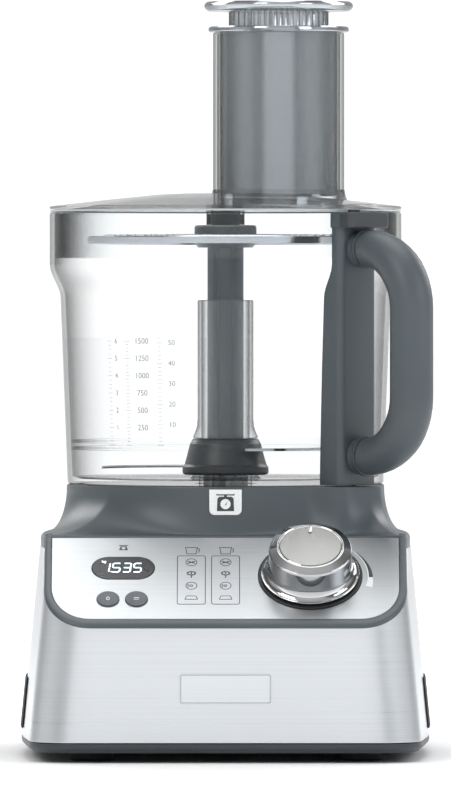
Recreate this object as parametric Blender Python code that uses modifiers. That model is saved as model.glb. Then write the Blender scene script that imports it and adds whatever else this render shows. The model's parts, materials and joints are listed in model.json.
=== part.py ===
"""Food processor: weighing power base, planetary drive, clear bowl with handle, lid, feed tube and two pushers.

Sizes are written in millimetres and turned into metres by MM. +Z is up, -Y is the front, and the origin is
the bottom centre of the whole machine. The bowl, lid, knife and gears turn on one upright drive axis.
"""

import math

import bmesh
import bpy
from mathutils import Matrix, Vector

MM = 0.001
GAP = 0.3 * MM  # between pieces that touch
CUT_OVERRUN = 5 * MM  # how far a cutter starts outside its wall

# Overall sizes of the power base
BASE_DEPTH = 265 * MM
BASE_HALF_WIDTH = 118.2 * MM
SHOULDER_HALF_WIDTH = 107 * MM
SHOULDER_Z = 127 * MM
AXIS_FROM_FRONT = 160 * MM
FRONT_LEAN = 1.5 * MM
REAR_LEAN = 6 * MM
FRONT_TUCK = 9 * MM
REAR_TUCK = 7 * MM
FRONT_CORNER_R = 28 * MM
REAR_CORNER_R = 34 * MM
SIDE_BOW_R = 900 * MM
SIDE_BOW_RISE = 1.6 * MM
AXIS_Y = AXIS_FROM_FRONT - BASE_DEPTH / 2

# Feet, tray and weighing cells
FOOT_R = 13 * MM
FOOT_HEIGHT = 5.3 * MM
FOOT_STEM_R = 3.5 * MM
FOOT_INSET_X = 42 * MM
FOOT_INSET_Y = 40 * MM
TRAY_HEIGHT = 5.4 * MM
TRAY_TUCK = 2.5 * MM
CELL_SIZE = (34 * MM, 12 * MM, 6 * MM)
TRAY_Z = FOOT_HEIGHT + GAP
TRAY_TOP = TRAY_Z + TRAY_HEIGHT
STEEL_Z = TRAY_TOP + GAP

# Steel wrap, rear cover and side grips
STEEL_WALL = 1.5 * MM
REAR_WALL = 2.5 * MM
REAR_COVER_DEPTH = 34 * MM
GRIP_PAD_PROUD = 1.2 * MM
GRIP_PAD_Z = (16 * MM, 45 * MM)
GRIP_PAD_Y = (-46 * MM, 52 * MM)
VENT_COUNT = 9
VENT_PITCH = 8 * MM
VENT_SLOT = (3.6 * MM, 26 * MM)
VENT_Z = 78 * MM
GLAND_R = 7.5 * MM
GLAND_HOLE_R = 5 * MM
GLAND_LENGTH = 9 * MM
GLAND_Z = 30 * MM
GLAND_X = -62 * MM

# Sloping control panel: its plane, and the grey rim round it
PANEL_TILT = math.radians(38)
PANEL_LOW_Z = 81.6 * MM
BEZEL_RIM = 4 * MM
BEZEL_DEPTH = 6 * MM
PANEL_WALL = 1.5 * MM
PANEL_LEDGE = 7 * MM
DISPLAY_SIZE = (36 * MM, 20.6 * MM)
DISPLAY_AT = (-58 * MM, 10 * MM)
DISPLAY_WALL = 2 * MM
DISPLAY_MODULE = (32 * MM, 17 * MM, 6 * MM)
BUTTON_R = 6.4 * MM
BUTTON_X = (-66.4 * MM, -50.3 * MM)
BUTTON_Y = -17.7 * MM
BUTTON_DEPTH = 4 * MM
BUTTON_TRAVEL = 0.8 * MM
BUTTON_PROUD = BUTTON_TRAVEL + 0.2 * MM
DIAL_AT = (48 * MM, 1.4 * MM)
DIAL_R = 23.6 * MM
DIAL_FACE_R = 18.5 * MM
DIAL_SKIRT_R = 28 * MM
DIAL_HEIGHT = 22 * MM
DIAL_SPINDLE_R = 3.2 * MM
SURROUND_R = 30.5 * MM
SURROUND_WALL = 1.2 * MM
ENCODER_SIZE = (16 * MM, 16 * MM, 8 * MM)
BOARD_SIZE = (150 * MM, 52 * MM, 1.6 * MM)
BOARD_DROP = 15 * MM

# Collar, seat and badge
COLLAR_R = 92 * MM
COLLAR_WALL = 5.5 * MM
COLLAR_TOP = 154.4 * MM
FLARE_R = 15 * MM
DECK_WALL = 7 * MM
SEAT_DROP = 15 * MM
SEAT_WALL = 4 * MM
BADGE_SIZE = (18.5 * MM, 14.5 * MM)
BADGE_WALL = 1 * MM
PLATE_SIZE = (51.6 * MM, 16.9 * MM)
PLATE_WALL = 0.8 * MM
PLATE_Z = 42 * MM

# Motor and planetary gears
SHAFT_R = 4 * MM
SHAFT_Z = 16 * MM
MOTOR_R = 46 * MM
STATOR_Z = (45 * MM, 85 * MM)
STATOR_BORE_R = 26 * MM
ARMATURE_R = 25 * MM
COMMUTATOR_R = 12 * MM
COMMUTATOR_Z = (88 * MM, 97 * MM)
BRUSH_LENGTH = 24 * MM
BRUSH_SIDE = 8 * MM
FAN_R = 40 * MM
FAN_BLADES = 8
FAN_Z = (33 * MM, 41 * MM)
BEARING_R = 11 * MM
BEARING_HEIGHT = 6 * MM
LOWER_BEARING_Z = 21 * MM
UPPER_BEARING_Z = 101 * MM
RUNNING = 0.1 * MM  # radial clearance of a shaft in its bearing
TOOTH_MODULE = 1.25 * MM
PRESSURE_ANGLE = math.radians(25)
BACKLASH = 0.2 * MM
SUN_TEETH = 15
PLANET_TEETH = 15
RING_TEETH = SUN_TEETH + 2 * PLANET_TEETH
PLANETS = 3
GEAR_Z = 109 * MM
GEAR_FACE = 10 * MM
RING_R = 36 * MM
CASE_WALL = 4 * MM
PIN_R = 2.6 * MM
CARRIER_R = 27 * MM
CARRIER_WALL = 4.5 * MM
OUTPUT_R = 12 * MM
COUPLING_R = 13 * MM
COUPLING_LOBES = 6

# Bowl
BOWL_LOW_R = 91.6 * MM
BOWL_MID_R = 95.7 * MM
BOWL_RIM_R = 102 * MM
BOWL_WALL = 2.8 * MM
BOWL_HEIGHT = 157 * MM
BOWL_STEP_DROP = 30 * MM
BOWL_STEP_LENGTH = 20 * MM
BOWL_SKIRT_R = 85.3 * MM
BOWL_SKIRT_DROP = 9.5 * MM
BOWL_FLOOR = 3 * MM
TUBE_R = 18 * MM
TUBE_WALL = 2.5 * MM
TUBE_HEIGHT = 14 * MM
BOWL_Z = COLLAR_TOP + GAP
RIM_Z = BOWL_Z + BOWL_HEIGHT
FLOOR_TOP = BOWL_Z + BOWL_FLOOR
TUBE_TOP = FLOOR_TOP + TUBE_HEIGHT

# Handle, in the upright plane that runs out from the drive axis at HANDLE_ANGLE
HANDLE_ANGLE = math.radians(-45)
POST_WIDTH = 30 * MM
POST_R = 108 * MM
HEAD_R = 117 * MM
HEAD_HEIGHT = 8.5 * MM
POST_FOOT_LIFT = 0.5 * MM
GRIP_REACH = 149.6 * MM
GRIP_R = 12.7 * MM
GRIP_ARM_R = 10.3 * MM
GRIP_LOW_LIFT = 17 * MM
GRIP_TOP_DROP = 21.5 * MM
GRIP_BEND_R = 34 * MM
ROD_AT = 103.9 * MM
ROD_WIDTH = 8 * MM
ROD_THICK = 2.2 * MM
ROD_PIN_R = 1.5 * MM
ROD_TRAVEL = 4 * MM
LATCH_TURN = math.radians(30)
SPRING_R = 2.9 * MM
SPRING_WIRE_R = 0.3 * MM
SPRING_TURNS = 6
SPRING_SEAT_LIFT = 11 * MM
SPRING_LENGTH = 24 * MM
SWITCH_SIZE = (8 * MM, 16 * MM, 14 * MM)
HORN_R = 113 * MM
HORN_TOP_DROP = 0.5 * MM

# Knife set and disc on the drive shaft
SPINDLE_R = 10.75 * MM
SPINDLE_TIP_R = 8 * MM
SPINDLE_TIP_DROP = 2 * MM
HUB_R = 25 * MM
HUB_TOP_R = 19.5 * MM
HUB_HEIGHT = 21 * MM
SLEEVE_R = 16.25 * MM
SLEEVE_WALL = 2.2 * MM
SLEEVE_HEIGHT = 80 * MM
BLADE_WALL = 1.6 * MM
LOWER_BLADE_REACH = 78 * MM
UPPER_BLADE_REACH = 64 * MM
BLADE_WIDTH = 21 * MM
LOWER_BLADE_LIFT = 4 * MM
UPPER_BLADE_LIFT = 14 * MM
DISC_R = 80 * MM
DISC_WALL = 1.6 * MM
DISC_DROP = 17 * MM
DISC_HUB_R = 18 * MM
DISC_HUB_HEIGHT = 13 * MM
DISC_HUB_SINK = 5 * MM  # how far the disc's hub reaches below the disc

# Lid, feed tube and pushers
SEAL_WALL = 1 * MM
LID_RISE = 7.5 * MM
LID_WALL = 2.4 * MM
LID_RIM_HEIGHT = 2.2 * MM
LID_SKIRT_DROP = 28 * MM
LID_SKIRT_WALL = 2.2 * MM
SLIDE_CLEARANCE = 0.6 * MM
LID_HUB_OVER = 0.35 * MM
FEED_AT = (31 * MM, 38 * MM)
FEED_HALF = (38.4 * MM, 31 * MM)
FEED_WALL = 2.5 * MM
FEED_HEIGHT = 101.4 * MM
FEED_SQUARENESS = 2.6
OUTER_PUSHER_CLEARANCE = 1.7 * MM
OUTER_PUSHER_WALL = 3.6 * MM
PUSHER_LIP = 3 * MM
PUSHER_LIP_OVER = 2.6 * MM
INNER_PUSHER_CLEARANCE = 1.0 * MM
INNER_PUSHER_WALL = 2.6 * MM
PUSHER_NECK = 9 * MM
PUSHER_CAP = 5.5 * MM
PUSHER_CAP_OVER = 5.1 * MM
PUSHER_LIFT_OFF = 6 * MM

# Heights that follow from the sizes above
SEAT_TOP = COLLAR_TOP - SEAT_DROP
GEAR_TOP = GEAR_Z + GEAR_FACE
CARRIER_Z = GEAR_TOP + 1.5 * MM
OUTPUT_TOP = SEAT_TOP
COUPLING_TOP = BOWL_Z + 5.5 * MM
SPINDLE_Z = COUPLING_TOP + GAP
HUB_Z = FLOOR_TOP + 2 * MM
HUB_TOP = HUB_Z + HUB_HEIGHT
LID_RIM_Z = RIM_Z + SEAL_WALL + 2 * GAP
LID_RIM_TOP = LID_RIM_Z + LID_RIM_HEIGHT
SPINDLE_TOP = LID_RIM_Z - SPINDLE_TIP_DROP
DISC_Z = LID_RIM_Z - DISC_DROP
DISC_HUB_Z = DISC_Z - DISC_HUB_SINK
FEED_TOP = LID_RIM_TOP + FEED_HEIGHT
LIP_Z = FEED_TOP + GAP
CAP_Z = LIP_Z + PUSHER_LIP + PUSHER_NECK
PANEL_FRONT_Y = -BASE_DEPTH / 2 + BEZEL_RIM + FRONT_LEAN
PANEL_TOP_Z = SHOULDER_Z - 1 * MM
BAND_Z = SHOULDER_Z - DECK_WALL
BASE_COLLECTION = "food_processor"
CUTTER_COLLECTION = "cutters"
ROUND = 36
SMALL_ROUND = 16
FAR = 400 * MM

GREY = ("grey_plastic", (0.145, 0.170, 0.182, 1), 0.42, 0.0)
DARK = ("dark_plastic", (0.045, 0.050, 0.055, 1), 0.45, 0.0)
BLACK = ("black_plastic", (0.012, 0.012, 0.014, 1), 0.5, 0.0)
RUBBER = ("rubber", (0.020, 0.020, 0.022, 1), 0.8, 0.0)
STEEL = ("brushed_steel", (0.62, 0.64, 0.65, 1), 0.3, 1.0)
CHROME = ("chrome", (0.75, 0.76, 0.77, 1), 0.12, 1.0)
CLEAR = ("clear_plastic", (0.93, 0.96, 0.97, 0.25), 0.06, 0.0)
SMOKE = ("smoke_plastic", (0.20, 0.24, 0.26, 0.8), 0.15, 0.0)
WHITE = ("white_print", (0.8, 0.8, 0.8, 1), 0.4, 0.0)
GLASS = ("display_glass", (0.006, 0.008, 0.010, 1), 0.08, 0.0)
COPPER = ("copper", (0.55, 0.24, 0.10, 1), 0.35, 1.0)
IRON = ("motor_iron", (0.20, 0.20, 0.21, 1), 0.5, 1.0)
NYLON = ("white_nylon", (0.72, 0.70, 0.64, 1), 0.4, 0.0)
BOARD = ("circuit_board", (0.02, 0.14, 0.06, 1), 0.5, 0.0)
SILICONE = ("silicone", (0.55, 0.58, 0.60, 1), 0.6, 0.0)


# ---- scene and materials ----


def clear_scene():
    for thing in list(bpy.data.objects):
        bpy.data.objects.remove(thing, do_unlink=True)
    for name in (BASE_COLLECTION, CUTTER_COLLECTION):
        group = bpy.data.collections.new(name)
        bpy.context.scene.collection.children.link(group)


def material(look):
    name, color, roughness, metallic = look
    found = bpy.data.materials.get(name)
    if found:
        return found
    found = bpy.data.materials.new(name)
    found.use_nodes = True
    shader = found.node_tree.nodes["Principled BSDF"]
    shader.inputs["Base Color"].default_value = color
    shader.inputs["Roughness"].default_value = roughness
    shader.inputs["Metallic"].default_value = metallic
    shader.inputs["Alpha"].default_value = color[3]
    return found


def frame_empty(name, location, rotation=(0, 0, 0)):
    empty = bpy.data.objects.new(name, None)
    empty.location = location
    empty.rotation_euler = rotation
    bpy.data.collections[BASE_COLLECTION].objects.link(empty)
    return empty


def place(name, mesh, look, parent=None, location=(0, 0, 0)):
    """A piece of the machine when it has a look, and a hidden cutter when it has none."""
    thing = bpy.data.objects.new(name, mesh)
    thing.location = location
    thing.parent = parent
    if look:
        bpy.data.collections[BASE_COLLECTION].objects.link(thing)
        mesh.materials.append(material(look))
        mesh.shade_smooth()
        mesh.set_sharp_from_angle(angle=math.radians(35))
    else:
        bpy.data.collections[CUTTER_COLLECTION].objects.link(thing)
        thing.hide_render = True
        thing.display_type = "WIRE"
    return thing


def boolean(thing, tool, operation="DIFFERENCE"):
    cut = thing.modifiers.new(f"{operation.lower()} {tool.name}", "BOOLEAN")
    cut.operation = operation
    cut.object = tool
    cut.solver = "EXACT"
    return thing


# ---- shapes ----


def turned(name, profile, look, parent=None, steps=ROUND, closed=True):
    """A profile of (radius, height) points turned about Z: a closed ring, or a solid that ends on the axis."""
    mesh = bpy.data.meshes.new(name)
    count = len(profile)
    edges = [(i, (i + 1) % count) for i in range(count if closed else count - 1)]
    mesh.from_pydata([(r, 0, z) for r, z in profile], edges, [])
    thing = place(name, mesh, look, parent)
    screw = thing.modifiers.new("turn", "SCREW")
    screw.axis = "Z"
    screw.angle = 2 * math.pi
    screw.steps = screw.render_steps = steps
    screw.use_merge_vertices = True
    screw.merge_threshold = 1e-5
    screw.use_normal_calculate = False
    screw.use_smooth_shade = False
    return thing


def ring(name, outer, inner, low, high, look, parent=None, steps=ROUND):
    profile = [(outer, high), (outer, low), (inner, low), (inner, high)]
    return turned(name, profile, look, parent, steps)


def rod(name, radius, low, high, look, parent=None, steps=SMALL_ROUND):
    profile = [(0, high), (radius, high), (radius, low), (0, low)]
    return turned(name, profile, look, parent, steps, closed=False)


def flat_mesh(name, outline, low, high, holes=()):
    """The mesh of an outline in XY, drawn as a filled 2D curve and given its height."""
    curve = bpy.data.curves.new(name, "CURVE")
    curve.dimensions = "2D"
    curve.fill_mode = "BOTH"
    curve.extrude = (high - low) / 2
    for loop in (outline, *holes):
        spline = curve.splines.new("POLY")
        spline.points.add(len(loop) - 1)
        for point, (x, y) in zip(spline.points, loop):
            point.co = (x, y, 0, 1)
        spline.use_cyclic_u = True
    source = bpy.data.objects.new(name, curve)
    bpy.context.scene.collection.objects.link(source)
    graph = bpy.context.evaluated_depsgraph_get()
    mesh = bpy.data.meshes.new_from_object(source.evaluated_get(graph))
    bpy.data.objects.remove(source)
    form = bmesh.new()
    form.from_mesh(mesh)
    bmesh.ops.remove_doubles(form, verts=form.verts, dist=1e-6)
    bmesh.ops.translate(form, verts=form.verts, vec=(0, 0, (low + high) / 2))
    bmesh.ops.recalc_face_normals(form, faces=form.faces)
    form.to_mesh(mesh)
    form.free()
    return mesh


def plate(name, outline, low, high, look, parent=None, holes=(), location=(0, 0, 0)):
    return place(name, flat_mesh(name, outline, low, high, holes), look, parent, location)


def across(name, outline, half_width, look=None):
    """An outline of (y, z) points carried across the machine along X."""
    mesh = flat_mesh(name, outline, -half_width, half_width)
    turn = Matrix(((0, 0, 1, 0), (1, 0, 0, 0), (0, 1, 0, 0), (0, 0, 0, 1)))
    mesh.transform(turn)
    return place(name, mesh, look)


def block(name, size, centre, look, parent=None, bevel=0.0):
    form = bmesh.new()
    bmesh.ops.create_cube(form, size=1)
    bmesh.ops.scale(form, verts=form.verts, vec=size)
    bmesh.ops.translate(form, verts=form.verts, vec=centre)
    mesh = bpy.data.meshes.new(name)
    form.to_mesh(mesh)
    form.free()
    thing = place(name, mesh, look, parent)
    if bevel:
        rounded_edges = thing.modifiers.new("edges", "BEVEL")
        rounded_edges.width = bevel
        rounded_edges.segments = 2
    return thing


def loft(name, rings, look, parent=None):
    """A skin from ring to ring, each with the same number of points, closed at both ends."""
    form = bmesh.new()
    rows = [[form.verts.new(point) for point in points] for points in rings]
    for lower, upper in zip(rows, rows[1:]):
        for i in range(len(lower)):
            form.faces.new((lower[i - 1], lower[i], upper[i], upper[i - 1]))
    form.faces.new(rows[0])
    form.faces.new(rows[-1])
    bmesh.ops.recalc_face_normals(form, faces=form.faces)
    mesh = bpy.data.meshes.new(name)
    form.to_mesh(mesh)
    form.free()
    return place(name, mesh, look, parent)


def swept(name, points, radii, look, parent=None, sides=3):
    """A round bar along points, with its own radius at each, made a mesh with closed ends."""
    curve = bpy.data.curves.new(name, "CURVE")
    curve.dimensions = "3D"
    curve.bevel_depth = 1
    curve.bevel_resolution = sides
    curve.use_fill_caps = True
    spline = curve.splines.new("POLY")
    spline.points.add(len(points) - 1)
    for knot, point, radius in zip(spline.points, points, radii):
        knot.co = (*point, 1)
        knot.radius = radius
    source = bpy.data.objects.new(name, curve)
    bpy.context.scene.collection.objects.link(source)
    graph = bpy.context.evaluated_depsgraph_get()
    mesh = bpy.data.meshes.new_from_object(source.evaluated_get(graph))
    bpy.data.objects.remove(source)
    form = bmesh.new()
    form.from_mesh(mesh)
    bmesh.ops.remove_doubles(form, verts=form.verts, dist=1e-6)
    bmesh.ops.recalc_face_normals(form, faces=form.faces)
    form.to_mesh(mesh)
    form.free()
    return place(name, mesh, look, parent)


# ---- outlines ----


def rounded(corners, steps=6):
    """The closed outline round corners (x, y, radius), each turned on its own radius."""
    outline = []
    for i, (x, y, radius) in enumerate(corners):
        here = Vector((x, y))
        before = (Vector(corners[i - 1][:2]) - here).normalized()
        after = (Vector(corners[(i + 1) % len(corners)][:2]) - here).normalized()
        half_angle = before.angle(after) / 2
        centre = here + (before + after).normalized() * radius / math.sin(half_angle)
        arm = here + before * radius / math.tan(half_angle) - centre
        side = math.copysign(1, after.cross(before))
        for k in range(steps + 1):
            angle = side * (math.pi - 2 * half_angle) * k / steps
            cosine, sine = math.cos(angle), math.sin(angle)
            outline.append(
                (
                    centre.x + arm.x * cosine - arm.y * sine,
                    centre.y + arm.x * sine + arm.y * cosine,
                )
            )
    return outline


def rounded_box(width, height, radius, centre=(0, 0), steps=6):
    x, y = centre
    w, h = width / 2, height / 2
    corners = [(x - w, y - h), (x + w, y - h), (x + w, y + h), (x - w, y + h)]
    return rounded([(*corner, radius) for corner in corners], steps)


def circle(radius, centre=(0, 0), steps=SMALL_ROUND):
    turns = [2 * math.pi * k / steps for k in range(steps)]
    return [(centre[0] + radius * math.cos(t), centre[1] + radius * math.sin(t)) for t in turns]


def body_plan(z, inset=0.0):
    """The plan of the power base at height z, a little narrower at each level than at the one below."""
    rise = (z - STEEL_Z) / (SHOULDER_Z - STEEL_Z)
    half = BASE_HALF_WIDTH + (SHOULDER_HALF_WIDTH - BASE_HALF_WIDTH) * rise - inset
    front = -BASE_DEPTH / 2 + FRONT_LEAN * rise + inset
    rear = BASE_DEPTH / 2 - REAR_LEAN * rise - inset
    front_r = FRONT_CORNER_R - inset
    rear_r = REAR_CORNER_R - inset
    corners = [
        (half - FRONT_TUCK, front, front_r),
        (half + SIDE_BOW_RISE, 0, SIDE_BOW_R),
        (half - REAR_TUCK, rear, rear_r),
        (REAR_TUCK - half, rear, rear_r),
        (-half - SIDE_BOW_RISE, 0, SIDE_BOW_R),
        (FRONT_TUCK - half, front, front_r),
    ]
    return rounded(corners, 5)


def body_block(name, low, high, inset, look=None):
    rings = [[(x, y, z) for x, y in body_plan(z, inset)] for z in (low, high)]
    return loft(name, rings, look)


def panel_height(y, drop=0.0):
    """Height of the panel's plane at y, or of the plane that lies drop below it."""
    return PANEL_LOW_Z + (y - PANEL_FRONT_Y) * math.tan(PANEL_TILT) - drop / math.cos(PANEL_TILT)


def panel_reach(z, drop=0.0):
    """Where that plane comes to height z."""
    return PANEL_FRONT_Y + (z + drop / math.cos(PANEL_TILT) - PANEL_LOW_Z) / math.tan(PANEL_TILT)


def slope_strip(drop_top, drop_low, low_y, high_y):
    """The (y, z) outline of a layer of the slope, between two depths under the panel's plane."""
    return [
        (low_y, panel_height(low_y, drop_low)),
        (high_y, panel_height(high_y, drop_low)),
        (high_y, panel_height(high_y, drop_top)),
        (low_y, panel_height(low_y, drop_top)),
    ]


def super_oval(half, centre, z, steps=28):
    """A rounded oval between an ellipse and a box."""
    points = []
    for k in range(steps):
        turn = 2 * math.pi * k / steps
        across_x, along_y = math.cos(turn), math.sin(turn)
        stretch = (
            abs(across_x / half[0]) ** FEED_SQUARENESS + abs(along_y / half[1]) ** FEED_SQUARENESS
        ) ** (-1 / FEED_SQUARENESS)
        points.append((centre[0] + stretch * across_x, centre[1] + stretch * along_y, z))
    return points


def grown(half, by):
    return (half[0] + by, half[1] + by)


def gear_outline(teeth, addendum, dedendum, thicker=0.0, first_tooth=0.0):
    """Involute teeth, three points to a flank. A ring gear's hole is the outline of a gear of thicker teeth."""
    pitch_r = teeth * TOOTH_MODULE / 2
    base_r = pitch_r * math.cos(PRESSURE_ANGLE)
    half_tooth = (math.pi * TOOTH_MODULE / 2 + thicker) / 2 / pitch_r
    involute = math.tan(PRESSURE_ANGLE) - PRESSURE_ANGLE
    flank = []
    for radius in (pitch_r - dedendum, pitch_r, pitch_r + addendum):
        pressure = math.acos(min(1, base_r / radius))
        flank.append((radius, half_tooth + involute - math.tan(pressure) + pressure))
    outline = []
    for tooth in range(teeth):
        middle = first_tooth + 2 * math.pi * tooth / teeth
        for radius, turn in flank:
            outline.append((radius * math.cos(middle - turn), radius * math.sin(middle - turn)))
        for radius, turn in reversed(flank):
            outline.append((radius * math.cos(middle + turn), radius * math.sin(middle + turn)))
    return outline


# ---- power base ----


def make_tray_and_feet():
    rings = [
        [(x, y, TRAY_Z) for x, y in body_plan(STEEL_Z, TRAY_TUCK)],
        [(x, y, TRAY_Z + TRAY_HEIGHT / 2) for x, y in body_plan(STEEL_Z)],
        [(x, y, TRAY_TOP) for x, y in body_plan(STEEL_Z)],
    ]
    tray = loft("base_tray", rings, DARK)
    foot_x = BASE_HALF_WIDTH - FOOT_INSET_X
    foot_y = BASE_DEPTH / 2 - FOOT_INSET_Y
    for end, y in (("front", -foot_y), ("rear", foot_y)):
        for side, x in (("left", -foot_x), ("right", foot_x)):
            spot = frame_empty(f"spot_{end}_{side}", (x, y, 0))
            hole = rod(f"cut_foot_{end}_{side}", FOOT_STEM_R + GAP, 0, STEEL_Z, None, spot)
            boolean(tray, hole)
            foot_profile = [
                (0, STEEL_Z),
                (FOOT_STEM_R, STEEL_Z),
                (FOOT_STEM_R, FOOT_HEIGHT),
                (FOOT_R, FOOT_HEIGHT),
                (FOOT_R, 1 * MM),
                (FOOT_R - 1 * MM, 0),
                (0, 0),
            ]
            turned(f"foot_{end}_{side}", foot_profile, RUBBER, spot, SMALL_ROUND, closed=False)
            cell_z = STEEL_Z + GAP + CELL_SIZE[2] / 2
            block(f"load_cell_{end}_{side}", CELL_SIZE, (0, 0, cell_z), STEEL, spot, 1 * MM)


def make_shell():
    split_y = BASE_DEPTH / 2 - REAR_COVER_DEPTH
    above_band = across(
        "cut_above_band",
        [
            (-FAR, panel_height(-FAR, BEZEL_DEPTH + GAP)),
            (panel_reach(BAND_Z - GAP, BEZEL_DEPTH + GAP), BAND_Z - GAP),
            (FAR, BAND_Z - GAP),
            (FAR, FAR),
            (-FAR, FAR),
        ],
        FAR,
    )
    behind = [(split_y, -FAR), (FAR, -FAR), (FAR, FAR), (split_y, FAR)]
    before = [(-FAR, -FAR), (split_y + GAP, -FAR), (split_y + GAP, FAR), (-FAR, FAR)]

    wrap = body_block("steel_wrap", STEEL_Z, SHOULDER_Z, 0, STEEL)
    boolean(wrap, body_block("cut_steel_inside", -FAR / 4, FAR, STEEL_WALL))
    boolean(wrap, above_band)
    boolean(wrap, across("cut_behind_steel", behind, FAR))

    cover = body_block("rear_cover", STEEL_Z, BAND_Z - GAP, 0, GREY)
    boolean(cover, body_block("cut_cover_inside", -FAR / 4, FAR, REAR_WALL))
    boolean(cover, across("cut_before_cover", before, FAR))
    for k in range(VENT_COUNT):
        x = (k - (VENT_COUNT - 1) / 2) * VENT_PITCH
        size = (VENT_SLOT[0], 4 * REAR_COVER_DEPTH, VENT_SLOT[1])
        boolean(cover, block(f"cut_vent_{k}", size, (x, BASE_DEPTH / 2 + REAR_COVER_DEPTH, VENT_Z), None))
    gland_spot = frame_empty(
        "gland_frame", (GLAND_X, BASE_DEPTH / 2, GLAND_Z), (math.radians(90), 0, 0)
    )
    boolean(cover, rod("cut_gland", GLAND_R + GAP, -CUT_OVERRUN, FAR / 10, None, gland_spot))
    gland_low = -PLATE_WALL
    gland = [
        (GLAND_R, gland_low + GLAND_LENGTH),
        (GLAND_R, gland_low),
        (GLAND_HOLE_R, gland_low),
        (GLAND_HOLE_R, gland_low + GLAND_LENGTH),
    ]
    turned("cord_gland", gland, BLACK, gland_spot, SMALL_ROUND)

    for side, sign in (("left", -1), ("right", 1)):
        pad = body_block(f"side_grip_{side}", *GRIP_PAD_Z, -GRIP_PAD_PROUD, BLACK)
        boolean(pad, body_block(f"cut_pad_inside_{side}", -FAR / 4, FAR, -GAP))
        size = (FAR, GRIP_PAD_Y[1] - GRIP_PAD_Y[0], FAR)
        middle = (sign * (FAR / 2 + BASE_HALF_WIDTH / 2), sum(GRIP_PAD_Y) / 2, 0)
        boolean(pad, block(f"keep_pad_{side}", size, middle, None), "INTERSECT")


def make_upper_housing(axis, handle):
    band = [
        (-FAR, panel_height(-FAR, BEZEL_DEPTH)),
        (panel_reach(BAND_Z, BEZEL_DEPTH), BAND_Z),
        (FAR, BAND_Z),
        (FAR, SHOULDER_Z),
        (panel_reach(SHOULDER_Z), SHOULDER_Z),
        (-FAR, panel_height(-FAR)),
    ]
    housing = body_block("upper_housing", PANEL_LOW_Z - 2 * BEZEL_DEPTH, SHOULDER_Z + FLARE_R, 0, GREY)
    boolean(housing, across("keep_band", band, FAR), "INTERSECT")

    inner = COLLAR_R - COLLAR_WALL
    flare = [(COLLAR_R, COLLAR_TOP)]
    for k in range(6):
        turn = math.radians(90) * k / 5
        flare.append(
            (
                COLLAR_R + FLARE_R * (1 - math.cos(turn)),
                SHOULDER_Z - GAP + FLARE_R * (1 - math.sin(turn)),
            )
        )
    low = BAND_Z + 1 * MM
    profile = [*flare, (COLLAR_R + FLARE_R, low), (inner - GAP, low), (inner - GAP, COLLAR_TOP)]
    collar = turned("add_collar", profile, None, axis)
    boolean(collar, body_block("keep_collar", BAND_Z, COLLAR_TOP + FLARE_R, 0.2 * MM), "INTERSECT")
    over_panel = [(-FAR, panel_height(-FAR)), (panel_reach(FAR), FAR), (-FAR, FAR)]
    trim = across("cut_over_panel", over_panel, FAR)
    boolean(trim, rod("keep_drum", COLLAR_R - GAP, -FAR, 2 * FAR, None, axis, ROUND))
    boolean(collar, trim)
    horn_low = BAND_Z + 0.5 * MM
    horn_high = COLLAR_TOP - HORN_TOP_DROP
    horn_length = HORN_R - inner
    horn_plan = rounded_box(horn_length, POST_WIDTH + 6 * MM, 6 * MM, (inner + horn_length / 2, 0))
    horn = plate("add_horn", horn_plan, horn_low, horn_high, None, handle)
    boolean(collar, horn, "UNION")
    boolean(housing, collar, "UNION")

    boolean(housing, rod("cut_collar_bore", inner, 0, FAR, None, axis, ROUND))
    recess = body_block("cut_panel_recess", STEEL_Z, SHOULDER_Z, BEZEL_RIM)
    strip = slope_strip(-BEZEL_DEPTH, PANEL_WALL + GAP, -BASE_DEPTH, panel_reach(PANEL_TOP_Z) + GAP)
    boolean(recess, across("keep_recess", strip, FAR), "INTERSECT")
    boolean(housing, recess)
    window = body_block("cut_panel_window", STEEL_Z, SHOULDER_Z, BEZEL_RIM + PANEL_LEDGE)
    strip_end = panel_reach(PANEL_TOP_Z) - PANEL_LEDGE
    strip = slope_strip(-BEZEL_DEPTH, 3 * BEZEL_DEPTH, -BASE_DEPTH, strip_end)
    boolean(window, across("keep_window", strip, FAR), "INTERSECT")
    boolean(housing, window)

    switch_x, switch_y, switch_z = SWITCH_SIZE
    pocket_top = horn_high - 5 * MM
    pocket_size = (switch_x + 1 * MM, switch_y + 1 * MM, FAR)
    pocket = block("cut_switch_pocket", pocket_size, (ROD_AT, 0, pocket_top - FAR / 2), None, handle)
    boolean(housing, pocket)
    pin_way = rod("cut_pin_way", ROD_PIN_R + 0.7 * MM, -FAR, FAR, None, handle, 12)
    pin_way.location.x = ROD_AT
    boolean(housing, pin_way)
    switch_top = pocket_top - 1 * MM
    switch_centre = (ROD_AT, 0, switch_top - switch_z / 2)
    block("interlock_switch", SWITCH_SIZE, switch_centre, BLACK, handle, 0.6 * MM)
    return switch_top


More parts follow.
